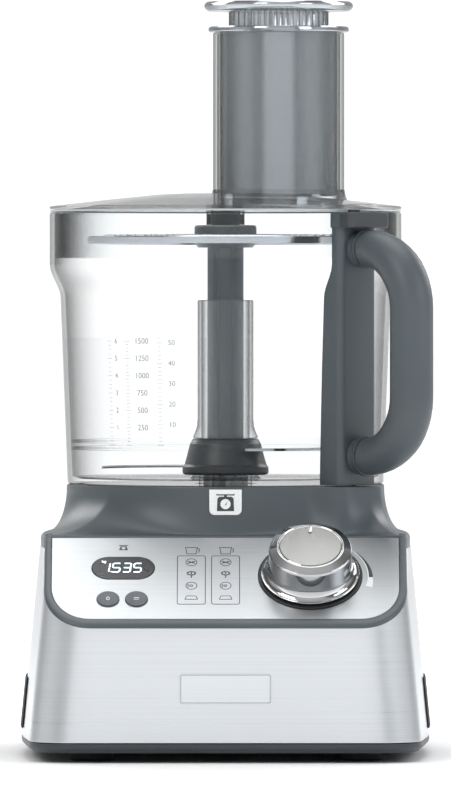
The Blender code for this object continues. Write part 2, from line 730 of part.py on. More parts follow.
def make_control_panel():
    middle_z = (PANEL_LOW_Z + PANEL_TOP_Z) / 2
    middle = (0, panel_reach(middle_z), middle_z)
    slope = frame_empty("panel_frame", middle, (PANEL_TILT, 0, 0))
    panel = body_block("control_panel", STEEL_Z, SHOULDER_Z, BEZEL_RIM + GAP, STEEL)
    strip = slope_strip(0, PANEL_WALL, -BASE_DEPTH, panel_reach(PANEL_TOP_Z))
    boolean(panel, across("keep_panel", strip, FAR), "INTERSECT")

    def through(name, outline):
        boolean(panel, plate(name, outline, -3 * PANEL_WALL, 3 * PANEL_WALL, None, slope))

    width, height = DISPLAY_SIZE
    opening = rounded_box(width + 2 * GAP, height + 2 * GAP, height / 2, DISPLAY_AT)
    through("cut_display", opening)
    lens = rounded_box(width, height, height / 2 - GAP, DISPLAY_AT)
    plate("display_window", lens, GAP - DISPLAY_WALL, GAP, GLASS, slope)
    module_z = -DISPLAY_WALL - DISPLAY_MODULE[2] / 2
    block("display_module", DISPLAY_MODULE, (*DISPLAY_AT, module_z), BLACK, slope)

    for name, x in zip(("button_zero", "button_units"), BUTTON_X):
        through(f"cut_{name}", circle(BUTTON_R + GAP, (x, BUTTON_Y)))
        spot = frame_empty(f"{name}_frame", (x, BUTTON_Y, 0))
        spot.parent = slope
        cap = [
            (0, BUTTON_PROUD),
            (BUTTON_R - 0.6 * MM, BUTTON_PROUD),
            (BUTTON_R, BUTTON_PROUD - 0.5 * MM),
            (BUTTON_R, -BUTTON_DEPTH),
            (0, -BUTTON_DEPTH),
        ]
        turned(name, cap, DARK, spot, SMALL_ROUND, closed=False)

    dial = frame_empty("dial_frame", (*DIAL_AT, 0))
    dial.parent = slope
    through("cut_dial", circle(DIAL_SPINDLE_R + 1 * MM, DIAL_AT))
    surround_z = GAP + SURROUND_WALL
    ring("dial_surround", SURROUND_R, DIAL_SPINDLE_R + GAP, GAP, surround_z, BLACK, dial)
    skirt_z = surround_z + GAP
    cove = 6 * MM
    side = [
        (
            DIAL_SKIRT_R - (DIAL_SKIRT_R - DIAL_R) * math.sin(math.radians(90) * k / 4),
            skirt_z + 1 * MM + cove * (1 - math.cos(math.radians(90) * k / 4)),
        )
        for k in range(5)
    ]
    bevel = 2.5 * MM
    knob = [
        (0, DIAL_HEIGHT),
        (DIAL_FACE_R, DIAL_HEIGHT),
        (DIAL_R, DIAL_HEIGHT - bevel),
        *reversed(side),
        (DIAL_SKIRT_R, skirt_z),
        (DIAL_SPINDLE_R, skirt_z),
        (DIAL_SPINDLE_R, -ENCODER_SIZE[2]),
        (0, -ENCODER_SIZE[2]),
    ]
    speed_dial = turned("speed_dial", knob, CHROME, dial, 28, closed=False)
    mark_size = (2.4 * MM, 6 * MM, 1.2 * MM)
    mark = block("add_dial_mark", mark_size, (0, DIAL_FACE_R - 4 * MM, DIAL_HEIGHT + 0.3 * MM), None, dial)
    boolean(speed_dial, mark, "UNION")
    encoder_z = -PANEL_WALL - GAP - ENCODER_SIZE[2] / 2
    encoder = block("dial_encoder", ENCODER_SIZE, (0, 0, encoder_z), BLACK, dial, 0.8 * MM)
    boolean(encoder, rod("cut_encoder", DIAL_SPINDLE_R + RUNNING, -FAR, FAR, None, dial))

    board = BOARD_SIZE
    block("control_board", board, (0, 0, -BOARD_DROP), BOARD, slope)
    return slope


def make_badges():
    arc = BADGE_SIZE[0] / 2 / COLLAR_R
    reach = COLLAR_R + GAP
    rings = []
    top = COLLAR_TOP - 1.5 * MM
    for k in range(7):
        turn = math.radians(-90) + arc * (k / 3 - 1)
        inner = (reach * math.cos(turn), reach * math.sin(turn))
        outer_r = reach + BADGE_WALL
        outer = (outer_r * math.cos(turn), outer_r * math.sin(turn))
        low = top - BADGE_SIZE[1]
        rings.append([(*inner, low), (*outer, low), (*outer, top), (*inner, top)])
    loft("scale_badge", rings, WHITE, bpy.data.objects["drive_axis"])

    front = -BASE_DEPTH / 2 + FRONT_LEAN * (PLATE_Z - STEEL_Z) / (SHOULDER_Z - STEEL_Z)
    spot = frame_empty("name_plate_frame", (0, front, PLATE_Z), (math.radians(90), 0, 0))
    low = GAP
    plate("name_plate", rounded_box(*PLATE_SIZE, 1.5 * MM, steps=3), low, low + PLATE_WALL, STEEL, spot)


# ---- motor and gears ----


def make_motor(axis):
    stator = plate("motor_stator", rounded_box(2 * MOTOR_R, 2 * MOTOR_R * 0.86, 16 * MM), *STATOR_Z, IRON, axis)
    boolean(stator, rod("cut_stator", STATOR_BORE_R, 0, FAR, None, axis, 32))

    frame_wall = 4 * MM
    frame_top = STATOR_Z[0] - GAP
    web = LOWER_BEARING_Z
    mount = [
        (MOTOR_R + 3 * MM, frame_top),
        (MOTOR_R + 3 * MM, STEEL_Z),
        (MOTOR_R + 3 * MM - frame_wall, STEEL_Z),
        (MOTOR_R + 3 * MM - frame_wall, web),
        (BEARING_R + GAP, web),
        (BEARING_R + GAP, web + BEARING_HEIGHT),
        (BEARING_R + frame_wall, web + BEARING_HEIGHT),
        (BEARING_R + frame_wall, web + frame_wall),
        (MOTOR_R + 3 * MM - frame_wall, web + frame_wall),
        (MOTOR_R + 3 * MM - frame_wall, frame_top),
    ]
    turned("motor_mount", mount, GREY, axis, SMALL_ROUND)

    for name, low in (("bearing_lower", LOWER_BEARING_Z), ("bearing_upper", UPPER_BEARING_Z)):
        ring(name, BEARING_R, SHAFT_R + RUNNING, low, low + BEARING_HEIGHT, STEEL, axis, SMALL_ROUND)

    core_low, core_high = STATOR_Z[0] + 2 * MM, STATOR_Z[1] - 2 * MM
    armature = [
        (0, GEAR_TOP),
        (SHAFT_R, GEAR_TOP),
        (SHAFT_R, core_high),
        (ARMATURE_R, core_high),
        (ARMATURE_R, core_low),
        (SHAFT_R, core_low),
        (SHAFT_R, SHAFT_Z),
        (0, SHAFT_Z),
    ]
    turned("armature", armature, IRON, axis, SMALL_ROUND, closed=False)
    ring("commutator", COMMUTATOR_R, SHAFT_R + GAP, *COMMUTATOR_Z, COPPER, axis, SMALL_ROUND)

    fan_hub = 14 * MM
    fan = ring("cooling_fan", fan_hub, SHAFT_R + GAP, *FAN_Z, NYLON, axis, SMALL_ROUND)
    fan_disc = ring("add_fan_disc", FAN_R, fan_hub - 1 * MM, FAN_Z[0], FAN_Z[0] + 1.5 * MM, None, axis, SMALL_ROUND)
    boolean(fan, fan_disc, "UNION")
    for k in range(FAN_BLADES):
        size = (FAN_R - fan_hub, 1.6 * MM, FAN_Z[1] - FAN_Z[0] - 0.5 * MM)
        centre = ((FAN_R + fan_hub) / 2 - 1 * MM, 0, (FAN_Z[0] + FAN_Z[1]) / 2 + 0.2 * MM)
        blade = block(f"add_fan_blade_{k}", size, centre, None, axis)
        blade.rotation_euler.z = 2 * math.pi * (k + 0.5) / FAN_BLADES
        boolean(fan, blade, "UNION")

    middle = sum(COMMUTATOR_Z) / 2
    for side, sign in (("left", -1), ("right", 1)):
        x = sign * (COMMUTATOR_R + GAP + BRUSH_LENGTH / 2)
        size = (BRUSH_LENGTH, BRUSH_SIDE, BRUSH_SIDE)
        block(f"brush_holder_{side}", size, (x, 0, middle), COPPER, axis, 0.8 * MM)


def make_gears(axis):
    addendum = TOOTH_MODULE
    dedendum = 1.25 * TOOTH_MODULE
    plate(
        "sun_gear",
        gear_outline(SUN_TEETH, addendum, dedendum, -BACKLASH / 2),
        GEAR_Z,
        GEAR_TOP,
        STEEL,
        axis,
        [circle(SHAFT_R + GAP)],
    )
    ring_hole = gear_outline(RING_TEETH, dedendum, addendum * 0.85, BACKLASH)
    plate("ring_gear", circle(RING_R, steps=24), GEAR_Z, GEAR_TOP, STEEL, axis, [ring_hole])

    reach = (SUN_TEETH + PLANET_TEETH) * TOOTH_MODULE / 2
    carrier_profile = [
        (0, OUTPUT_TOP),
        (OUTPUT_R, OUTPUT_TOP),
        (OUTPUT_R, CARRIER_Z + CARRIER_WALL),
        (CARRIER_R, CARRIER_Z + CARRIER_WALL),
        (CARRIER_R, CARRIER_Z),
        (0, CARRIER_Z),
    ]
    carrier = turned("gear_carrier", carrier_profile, STEEL, axis, SMALL_ROUND, closed=False)
    for k in range(PLANETS):
        around = 2 * math.pi * k / PLANETS
        spot = frame_empty(f"planet_{k + 1}_frame", (reach * math.cos(around), reach * math.sin(around), 0))
        spot.parent = axis
        first_tooth = around + math.pi + math.pi / PLANET_TEETH
        teeth = gear_outline(PLANET_TEETH, addendum, dedendum, -BACKLASH / 2, first_tooth)
        bore = circle(PIN_R + RUNNING, steps=16)
        plate(f"planet_gear_{k + 1}", teeth, GEAR_Z, GEAR_TOP, NYLON, spot, [bore])
        pin = rod(f"add_pin_{k + 1}", PIN_R, GEAR_Z, CARRIER_Z + 1 * MM, None, spot, 16)
        boolean(carrier, pin, "UNION")

    case_low = UPPER_BEARING_Z - 2 * MM
    case_r = RING_R + CASE_WALL
    shelf = GEAR_Z - 1 * MM
    case_top = SEAT_TOP - SEAT_WALL - GAP
    case = [
        (case_r + 14 * MM, case_top),
        (case_r + 14 * MM, case_top - CASE_WALL),
        (case_r, case_top - CASE_WALL),
        (case_r, case_low),
        (SHAFT_R + 1 * MM, case_low),
        (SHAFT_R + 1 * MM, UPPER_BEARING_Z - GAP),
        (BEARING_R + GAP, UPPER_BEARING_Z - GAP),
        (BEARING_R + GAP, shelf),
        (RING_R + GAP, shelf),
        (RING_R + GAP, case_top),
    ]
    turned("gear_case", case, GREY, axis, 24)

    lobes = []
    for k in range(COUPLING_LOBES * 4):
        turn = 2 * math.pi * k / (COUPLING_LOBES * 4)
        reach_r = COUPLING_R - (2.4 * MM if k % 4 in (2, 3) else 0)
        lobes.append((reach_r * math.cos(turn), reach_r * math.sin(turn)))
    coupling = plate("add_coupling", lobes, OUTPUT_TOP - 1 * MM, COUPLING_TOP, None, axis)
    boolean(carrier, coupling, "UNION")

    seat_r = COLLAR_R - COLLAR_WALL - GAP
    seat_hole = OUTPUT_R + 2 * MM
    ring("bowl_seat", seat_r, seat_hole, SEAT_TOP - SEAT_WALL, SEAT_TOP, GREY, axis)


# ---- bowl, handle and interlock ----


def bowl_wall(grow):
    """The upright wall's (radius, height) points from the rim down, moved out by grow."""
    step_high = RIM_Z - BOWL_STEP_DROP
    step_low = step_high - BOWL_STEP_LENGTH
    points = [(BOWL_RIM_R + grow, RIM_Z), (BOWL_RIM_R + grow, step_high)]
    for k in range(1, 6):
        share = k / 6
        ease = (1 + math.cos(math.pi * share)) / 2
        points.append(
            (
                BOWL_MID_R + (BOWL_RIM_R - BOWL_MID_R) * ease + grow,
                step_high - BOWL_STEP_LENGTH * share,
            )
        )
    points.append((BOWL_MID_R + grow, step_low))
    points.append((BOWL_LOW_R + grow, BOWL_Z))
    return points


def make_bowl(axis):
    outer = bowl_wall(0)
    inner = bowl_wall(-BOWL_WALL)
    inner[-1] = (inner[-1][0], FLOOR_TOP)
    skirt_low = BOWL_Z - BOWL_SKIRT_DROP
    tube_low = BOWL_Z - 4 * MM
    profile = [
        *outer,
        (BOWL_SKIRT_R, BOWL_Z),
        (BOWL_SKIRT_R, skirt_low),
        (BOWL_SKIRT_R - BOWL_WALL, skirt_low),
        (BOWL_SKIRT_R - BOWL_WALL, BOWL_Z),
        (TUBE_R, BOWL_Z),
        (TUBE_R, tube_low),
        (TUBE_R - TUBE_WALL, tube_low),
        (TUBE_R - TUBE_WALL, TUBE_TOP),
        (TUBE_R, TUBE_TOP),
        (TUBE_R, FLOOR_TOP),
        *reversed(inner),
    ]
    turned("bowl", profile, CLEAR, axis)


def grip_path():
    """The grip's centre line in the handle's plane, as (reach, height) points, with the radius at each."""
    low = BOWL_Z + GRIP_LOW_LIFT
    high = RIM_Z - GRIP_TOP_DROP
    root = POST_R + GAP
    points = [(root, low)]
    for k in range(7):
        turn = math.radians(-90 + 15 * k)
        points.append(
            (
                GRIP_REACH - GRIP_BEND_R + GRIP_BEND_R * math.cos(turn),
                low + GRIP_BEND_R + GRIP_BEND_R * math.sin(turn),
            )
        )
    for k in range(7):
        turn = math.radians(15 * k)
        points.append(
            (
                GRIP_REACH - GRIP_BEND_R + GRIP_BEND_R * math.cos(turn),
                high - GRIP_BEND_R + GRIP_BEND_R * math.sin(turn),
            )
        )
    points.append((root, high))
    thick = [GRIP_ARM_R + (GRIP_R - GRIP_ARM_R) * min(1, min(k, 15 - k) / 5) for k in range(16)]
    return points, thick


def make_handle(axis, handle, switch_top):
    post_low = BOWL_Z + POST_FOOT_LIFT
    post_high = RIM_Z - 1 * MM
    inner = BOWL_LOW_R - BOWL_WALL
    depth = POST_R - inner
    plan = rounded_box(depth, POST_WIDTH, 4 * MM, (inner + depth / 2, 0), 3)
    post = plate("handle_post", plan, post_low, post_high - 1 * MM, GREY, handle)
    head_depth = HEAD_R - inner
    head_plan = rounded_box(head_depth, POST_WIDTH + 2 * MM, 4 * MM, (inner + head_depth / 2, 0), 3)
    head = plate("add_head", head_plan, post_high - HEAD_HEIGHT, post_high, None, handle)
    boolean(post, head, "UNION")
    clear = [(0, FAR), (BOWL_RIM_R + GAP, FAR), *bowl_wall(GAP), (BOWL_LOW_R + GAP, 0), (0, 0)]
    boolean(post, turned("cut_post_bowl", clear, None, axis, ROUND, closed=False))

    seat_z = post_low + SPRING_SEAT_LIFT
    spring_high = seat_z + GAP + SPRING_LENGTH
    channel = (ROD_THICK + 2 * SLIDE_CLEARANCE, ROD_WIDTH + 2 * SLIDE_CLEARANCE, FAR)
    channel_z = seat_z + FAR / 2
    boolean(post, block("cut_channel", channel, (ROD_AT, 0, channel_z), None, handle))
    well = rod("cut_spring_well", SPRING_R + 3 * SPRING_WIRE_R, seat_z, spring_high + ROD_TRAVEL, None, handle, 16)
    well.location.x = ROD_AT
    boolean(post, well)
    way = rod("cut_post_pin", ROD_PIN_R + 0.5 * MM, 0, seat_z + 1 * MM, None, handle, 12)
    way.location.x = ROD_AT
    boolean(post, way)

    points, thick = grip_path()
    line = [(reach, 0, height) for reach, height in points]
    swept("handle_grip", line, thick, GREY, handle, sides=4)

    rod_low = spring_high + GAP
    rod_high = LID_RIM_Z - 2 * GAP
    size = (ROD_THICK, ROD_WIDTH, rod_high - rod_low)
    bar = block("interlock_rod", size, (ROD_AT, 0, (rod_low + rod_high) / 2), DARK, handle)
    pin = rod("add_rod_pin", min(ROD_PIN_R, ROD_THICK * 0.48), switch_top + GAP, rod_low + 1 * MM, None, handle, 12)
    pin.location.x = ROD_AT
    boolean(bar, pin, "UNION")

    coil = []
    per_turn = 8
    for k in range(SPRING_TURNS * per_turn + 1):
        turn = 2 * math.pi * k / per_turn
        rise = SPRING_WIRE_R + (SPRING_LENGTH - 2 * SPRING_WIRE_R) * k / (SPRING_TURNS * per_turn)
        height = seat_z + GAP + rise
        coil.append((ROD_AT + SPRING_R * math.cos(turn), SPRING_R * math.sin(turn), height))
    swept("interlock_spring", coil, [SPRING_WIRE_R] * len(coil), STEEL, handle, sides=0)


# ---- knife set and disc ----


def blade_outline(root, reach, sweep):
    """A blade that runs out from the hub and curls back, its edge an arc and its back a flatter one."""
    edge, back = [], []
    for k in range(9):
        share = k / 8
        radius = root + (reach - root) * share
        lead = sweep * share**1.6
        edge.append((radius * math.cos(lead), radius * math.sin(lead)))
        width = BLADE_WIDTH * (1 - share**2.2) + 1.5 * MM
        lag = lead - width / radius
        back.append((radius * math.cos(lag), radius * math.sin(lag)))
    return edge + back[::-1]


def make_knife_and_disc(axis):
    flange_top = HUB_TOP - 7 * MM
    spindle = [
        (0, SPINDLE_TOP),
        (SPINDLE_TIP_R, SPINDLE_TOP),
        (SPINDLE_TIP_R, SPINDLE_TOP - 8 * MM),
        (SPINDLE_R, SPINDLE_TOP - 8 * MM),
        (SPINDLE_R, flange_top),
        (TUBE_R - TUBE_WALL - 0.9 * MM, flange_top),
        (TUBE_R - TUBE_WALL - 0.9 * MM, SPINDLE_Z),
        (0, SPINDLE_Z),
    ]
    turned("drive_shaft", spindle, GREY, axis, SMALL_ROUND, closed=False)

    bore = SPINDLE_R + GAP
    hub = [
        (HUB_TOP_R, HUB_TOP),
        (HUB_R, HUB_TOP - 16 * MM),
        (HUB_R, HUB_Z),
        (TUBE_R + 1.2 * MM, HUB_Z),
        (TUBE_R + 1.2 * MM, flange_top + 1 * MM),
        (bore, flange_top + 1 * MM),
        (bore, HUB_TOP),
    ]
    turned("knife_hub", hub, DARK, axis, 24)
    sleeve_low = HUB_TOP + GAP
    sleeve_top = sleeve_low + SLEEVE_HEIGHT
    sleeve = [
        (SLEEVE_R, sleeve_top),
        (SLEEVE_R, sleeve_low + 5 * MM),
        (HUB_TOP_R - 0.5 * MM, sleeve_low),
        (SLEEVE_R - SLEEVE_WALL, sleeve_low),
        (SLEEVE_R - SLEEVE_WALL, sleeve_top),
    ]
    turned("knife_sleeve", sleeve, CLEAR, axis, 24)

    blades = (
        ("knife_blade_lower", LOWER_BLADE_REACH, LOWER_BLADE_LIFT, math.radians(170)),
        ("knife_blade_upper", UPPER_BLADE_REACH, UPPER_BLADE_LIFT, math.radians(-10)),
    )
    for name, reach, lift, turn in blades:
        outline = blade_outline(HUB_R + GAP, reach, math.radians(35))
        low = HUB_Z + lift
        blade = plate(name, outline, low, low + BLADE_WALL, STEEL, axis)
        blade.rotation_euler.z = turn
        boolean(blade, rod(f"cut_{name}", HUB_R + GAP, 0, FAR, None, axis, 32))

    ring("disc_hub", DISC_HUB_R, bore, DISC_HUB_Z, DISC_HUB_Z + DISC_HUB_HEIGHT, GREY, axis, 32)
    rim = 3 * MM
    disc = [
        (DISC_R, DISC_Z + DISC_WALL),
        (DISC_R, DISC_Z - rim),
        (DISC_R - DISC_WALL, DISC_Z - rim),
        (DISC_R - DISC_WALL, DISC_Z),
        (DISC_HUB_R + GAP, DISC_Z),
        (DISC_HUB_R + GAP, DISC_Z + DISC_WALL),
    ]
    turned("grating_disc", disc, STEEL, axis)


# ---- lid and pushers ----


def make_lid(axis, handle):
    skirt_r = BOWL_RIM_R - BOWL_WALL - SLIDE_CLEARANCE
    skirt_low = LID_RIM_Z - LID_SKIRT_DROP
    hub_in = SPINDLE_TIP_R + SLIDE_CLEARANCE
    hub_out = SPINDLE_R + LID_HUB_OVER
    hub_low = DISC_HUB_Z + DISC_HUB_HEIGHT + GAP
    top = LID_RIM_TOP + LID_RISE
    slope_r = FEED_AT[0] + 9 * MM
    profile = [
        (0, top),
        (slope_r, top - 1 * MM),
        (BOWL_RIM_R - 1.5 * MM, LID_RIM_TOP),
        (BOWL_RIM_R, LID_RIM_TOP - 0.7 * MM),
        (BOWL_RIM_R, LID_RIM_Z),
        (skirt_r, LID_RIM_Z),
        (skirt_r, skirt_low),
        (skirt_r - LID_SKIRT_WALL, skirt_low),
        (skirt_r - LID_SKIRT_WALL, LID_RIM_TOP - LID_WALL),
        (slope_r, top - 1 * MM - LID_WALL),
        (hub_out, top - 0.5 * MM - LID_WALL),
        (hub_out, hub_low),
        (hub_in, hub_low),
        (hub_in, top - 0.5 * MM - LID_WALL),
        (0, top - 0.5 * MM - LID_WALL),
    ]
    lid = turned("lid", profile, CLEAR, axis, closed=False)
    feed_low = LID_RIM_TOP + 1 * MM
    rings = [super_oval(FEED_HALF, FEED_AT, z) for z in (feed_low, FEED_TOP)]
    boolean(lid, loft("add_feed_tube", rings, None, axis), "UNION")
    way = grown(FEED_HALF, -FEED_WALL)
    rings = [super_oval(way, FEED_AT, z) for z in (LID_RIM_Z - 2 * MM, FEED_TOP + 1 * MM)]
    boolean(lid, loft("cut_feed_tube", rings, None, axis))

    tab_out = ROD_AT + 5 * MM
    tab_in = BOWL_RIM_R - 2 * MM
    tab_high = LID_RIM_TOP + 0.4 * MM
    half = math.radians(5)
    rings = []
    for k in range(5):
        turn = half * (1 - k / 2)
        under = LID_RIM_Z - GAP + ROD_TRAVEL / LATCH_TURN * max(0, half / 2 - turn)
        ends = [(r * math.cos(turn), r * math.sin(turn)) for r in (tab_in, tab_out)]
        rings.append([(*ends[0], under), (*ends[1], under), (*ends[1], tab_high), (*ends[0], tab_high)])
    boolean(lid, loft("add_lid_tab", rings, None, handle), "UNION")

    seal_r = BOWL_RIM_R - 0.3 * MM
    seal_z = RIM_Z + GAP
    ring("lid_seal", seal_r, BOWL_RIM_R - BOWL_WALL + 0.3 * MM, seal_z, seal_z + SEAL_WALL, SILICONE, axis)


def make_pushers(axis):
    spot = frame_empty("feed_frame", (*FEED_AT, 0))
    spot.parent = axis
    centre = (0, 0)
    outer_half = grown(FEED_HALF, -FEED_WALL - OUTER_PUSHER_CLEARANCE)
    lip_half = grown(FEED_HALF, PUSHER_LIP_OVER)
    low = LID_RIM_TOP + PUSHER_LIFT_OFF
    rings = [
        super_oval(outer_half, centre, low),
        super_oval(outer_half, centre, LIP_Z),
        super_oval(lip_half, centre, LIP_Z),
        super_oval(lip_half, centre, LIP_Z + PUSHER_LIP),
    ]
    outer = loft("pusher_outer", rings, SMOKE, spot)
    way_half = grown(outer_half, -OUTER_PUSHER_WALL)
    rings = [super_oval(way_half, centre, z) for z in (low - 1 * MM, CAP_Z)]
    boolean(outer, loft("cut_pusher_outer", rings, None, spot))

    inner_half = grown(way_half, -INNER_PUSHER_CLEARANCE)
    cap_half = grown(FEED_HALF, PUSHER_CAP_OVER)
    rings = [
        super_oval(inner_half, centre, low + 2 * MM),
        super_oval(inner_half, centre, CAP_Z),
        super_oval(cap_half, centre, CAP_Z),
        super_oval(cap_half, centre, CAP_Z + PUSHER_CAP),
    ]
    inner = loft("pusher_inner", rings, SMOKE, spot)
    hollow = grown(inner_half, -INNER_PUSHER_WALL)
    rings = [super_oval(hollow, centre, z) for z in (low + 1 * MM, CAP_Z - 1 * MM)]
    boolean(inner, loft("cut_pusher_inner", rings, None, spot))


def main():
    clear_scene()
    axis = frame_empty("drive_axis", (0, AXIS_Y, 0))
    handle = frame_empty("handle_frame", (0, AXIS_Y, 0), (0, 0, HANDLE_ANGLE))
    make_tray_and_feet()
    make_shell()
    switch_top = make_upper_housing(axis, handle)
    make_control_panel()
    make_badges()
    make_motor(axis)
    make_gears(axis)
    make_bowl(axis)
    make_handle(axis, handle, switch_top)
    make_knife_and_disc(axis)
    make_lid(axis, handle)
    make_pushers(axis)


main()
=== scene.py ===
"""Looks of the food processor: builds fine pieces and materials round the fixed frame."""

import json
import math

import bmesh
import bpy
from bpy.props import FloatProperty, FloatVectorProperty, IntProperty, PointerProperty
from mathutils import Matrix, Vector


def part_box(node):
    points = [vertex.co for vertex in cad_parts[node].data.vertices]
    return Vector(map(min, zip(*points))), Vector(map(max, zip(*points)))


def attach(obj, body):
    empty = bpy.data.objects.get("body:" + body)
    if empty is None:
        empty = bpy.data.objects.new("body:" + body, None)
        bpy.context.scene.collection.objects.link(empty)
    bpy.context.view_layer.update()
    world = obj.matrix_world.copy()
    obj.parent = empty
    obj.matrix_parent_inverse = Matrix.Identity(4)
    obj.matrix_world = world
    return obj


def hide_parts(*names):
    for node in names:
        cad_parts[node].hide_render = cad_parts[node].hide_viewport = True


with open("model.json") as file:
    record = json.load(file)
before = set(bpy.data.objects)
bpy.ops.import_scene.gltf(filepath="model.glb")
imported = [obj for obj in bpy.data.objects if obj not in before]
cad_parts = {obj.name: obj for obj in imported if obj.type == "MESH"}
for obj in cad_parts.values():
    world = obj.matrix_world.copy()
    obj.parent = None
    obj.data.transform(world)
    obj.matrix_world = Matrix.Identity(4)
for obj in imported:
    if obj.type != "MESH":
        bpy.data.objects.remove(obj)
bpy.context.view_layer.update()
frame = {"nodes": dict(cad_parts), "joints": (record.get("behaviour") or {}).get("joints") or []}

bl_info = {
    "name": "Food Processor Looks",
    "version": (1, 0, 0),
    "blender": (4, 5, 0),
    "location": "View3D > Sidebar > Food Processor",
    "description": "Fine pieces, materials and a studio for a jointed food processor",
    "category": "Object",
}

MM = 0.001
NODES = frame["nodes"]
JOINTS = {joint["name"]: joint for joint in frame["joints"]}
UP = Vector((0, 0, 1))
BOXES = {node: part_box(node) for node in NODES}


def low(node):
    return BOXES[node][0]


def high(node):
    return BOXES[node][1]


def lo(node):
    """The low corner of a node's box, in millimetres."""
    return low(node) / MM


def hi(node):
    """The high corner of a node's box, in millimetres."""
    return high(node) / MM


def span(node):
    """The lowest and the highest Z of a node, in millimetres."""
    return lo(node).z, hi(node).z


# ---- places read from the frame ----

AXIS = Vector(JOINTS["knife_spin"]["pos_m"])
AXIS.z = 0
AXIS_Y = AXIS.y / MM
ON_AXIS = Matrix.Translation(AXIS)
HANDLE = ON_AXIS @ Matrix.Rotation(math.radians(-45), 4, "Z")
PANEL_N = Vector(JOINTS["dial_turn"]["axis"]).normalized()
PANEL_UP = Vector((0, PANEL_N.z, -PANEL_N.y))
PANEL_SLOPE = -PANEL_N.y / PANEL_N.z
PANEL_D = max(PANEL_N @ v.co for v in NODES["control_panel"].data.vertices)
PANEL_MID_Z = (low("control_panel").z + high("control_panel").z) / 2
PANEL_AT = Vector((0, (PANEL_MID_Z * PANEL_N.z - PANEL_D) / -PANEL_N.y, PANEL_MID_Z))
PANEL = Matrix.Translation(PANEL_AT) @ Matrix(
    ((1, 0, 0, 0), (0, PANEL_UP.y, PANEL_N.y, 0), (0, PANEL_UP.z, PANEL_N.z, 0), (0, 0, 0, 1))
)
DIAL_AT = PANEL.inverted() @ Vector(JOINTS["dial_turn"]["pos_m"])
DIAL = PANEL @ Matrix.Translation((DIAL_AT.x, DIAL_AT.y, 0))


# ---- sizes and colours that a user would change ----


class BodySettings(bpy.types.PropertyGroup):
    front_corner: FloatProperty(
        name="Front corner", description="Plan radius of the base's front corners", default=28 * MM,
        unit="LENGTH"
    )
    rear_corner: FloatProperty(
        name="Rear corner", description="Plan radius of the base's rear corners", default=34 * MM,
        unit="LENGTH"
    )
    rim_width: FloatProperty(
        name="Panel rim", description="Width of the grey rim round the panel", default=4 * MM, unit="LENGTH"
    )
    vent_count: IntProperty(name="Vents", description="Slots in the rear cover", default=9, min=2)
    vent_pitch: FloatProperty(name="Vent pitch", description="Slot spacing", default=8 * MM, unit="LENGTH")


class FinishSettings(bpy.types.PropertyGroup):
    grey: FloatVectorProperty(
        name="Moulding grey", description="Colour of the main mouldings", subtype="COLOR",
        default=(0.064, 0.079, 0.089)
    )
    steel: FloatVectorProperty(
        name="Steel", description="Colour of the brushed steel", subtype="COLOR",
        default=(0.66, 0.685, 0.705)
    )
    smoke: FloatVectorProperty(
        name="Smoke", description="Colour of the pushers", subtype="COLOR", default=(0.60, 0.64, 0.67)
    )
    clear: FloatVectorProperty(
        name="Clear", description="Tint of the clear mouldings", subtype="COLOR", default=(0.86, 0.89, 0.90)
    )


class StageSettings(bpy.types.PropertyGroup):
    distance: FloatProperty(
        name="Camera distance", description="From the drive axis to the camera", default=5.5, unit="LENGTH"
    )
    height: FloatProperty(name="Camera height", description="Above the floor", default=0.261, unit="LENGTH")
    target: FloatProperty(
        name="Aim height", description="Height the camera aims at", default=0.203, unit="LENGTH"
    )
    lens: FloatProperty(name="Lens", description="Focal length in millimetres", default=427.0)


# ---- shader maths ----


class Socket:
    """A node socket that can be used in Python arithmetic."""

    def __init__(self, graph, socket):
        self.graph, self.socket = graph, socket

    def _math(self, operation, *values):
        return self.graph.node("ShaderNodeMath", {"operation": operation}, *values)

    def __add__(self, other):
        return self._math("ADD", self, other)

    __radd__ = __add__

    def __sub__(self, other):
        return self._math("SUBTRACT", self, other)

    def __rsub__(self, other):
        return self._math("SUBTRACT", other, self)

    def __mul__(self, other):
        return self._math("MULTIPLY", self, other)

    __rmul__ = __mul__

    def __truediv__(self, other):
        return self._math("DIVIDE", self, other)

    def __pow__(self, other):
        return self._math("POWER", self, other)

    def absolute(self):
        return self._math("ABSOLUTE", self)

    def smoothstep(self, start, end):
        settings = {"interpolation_type": "SMOOTHSTEP"}
        return self.graph.node("ShaderNodeMapRange", settings, self, start, end, 0.0, 1.0)


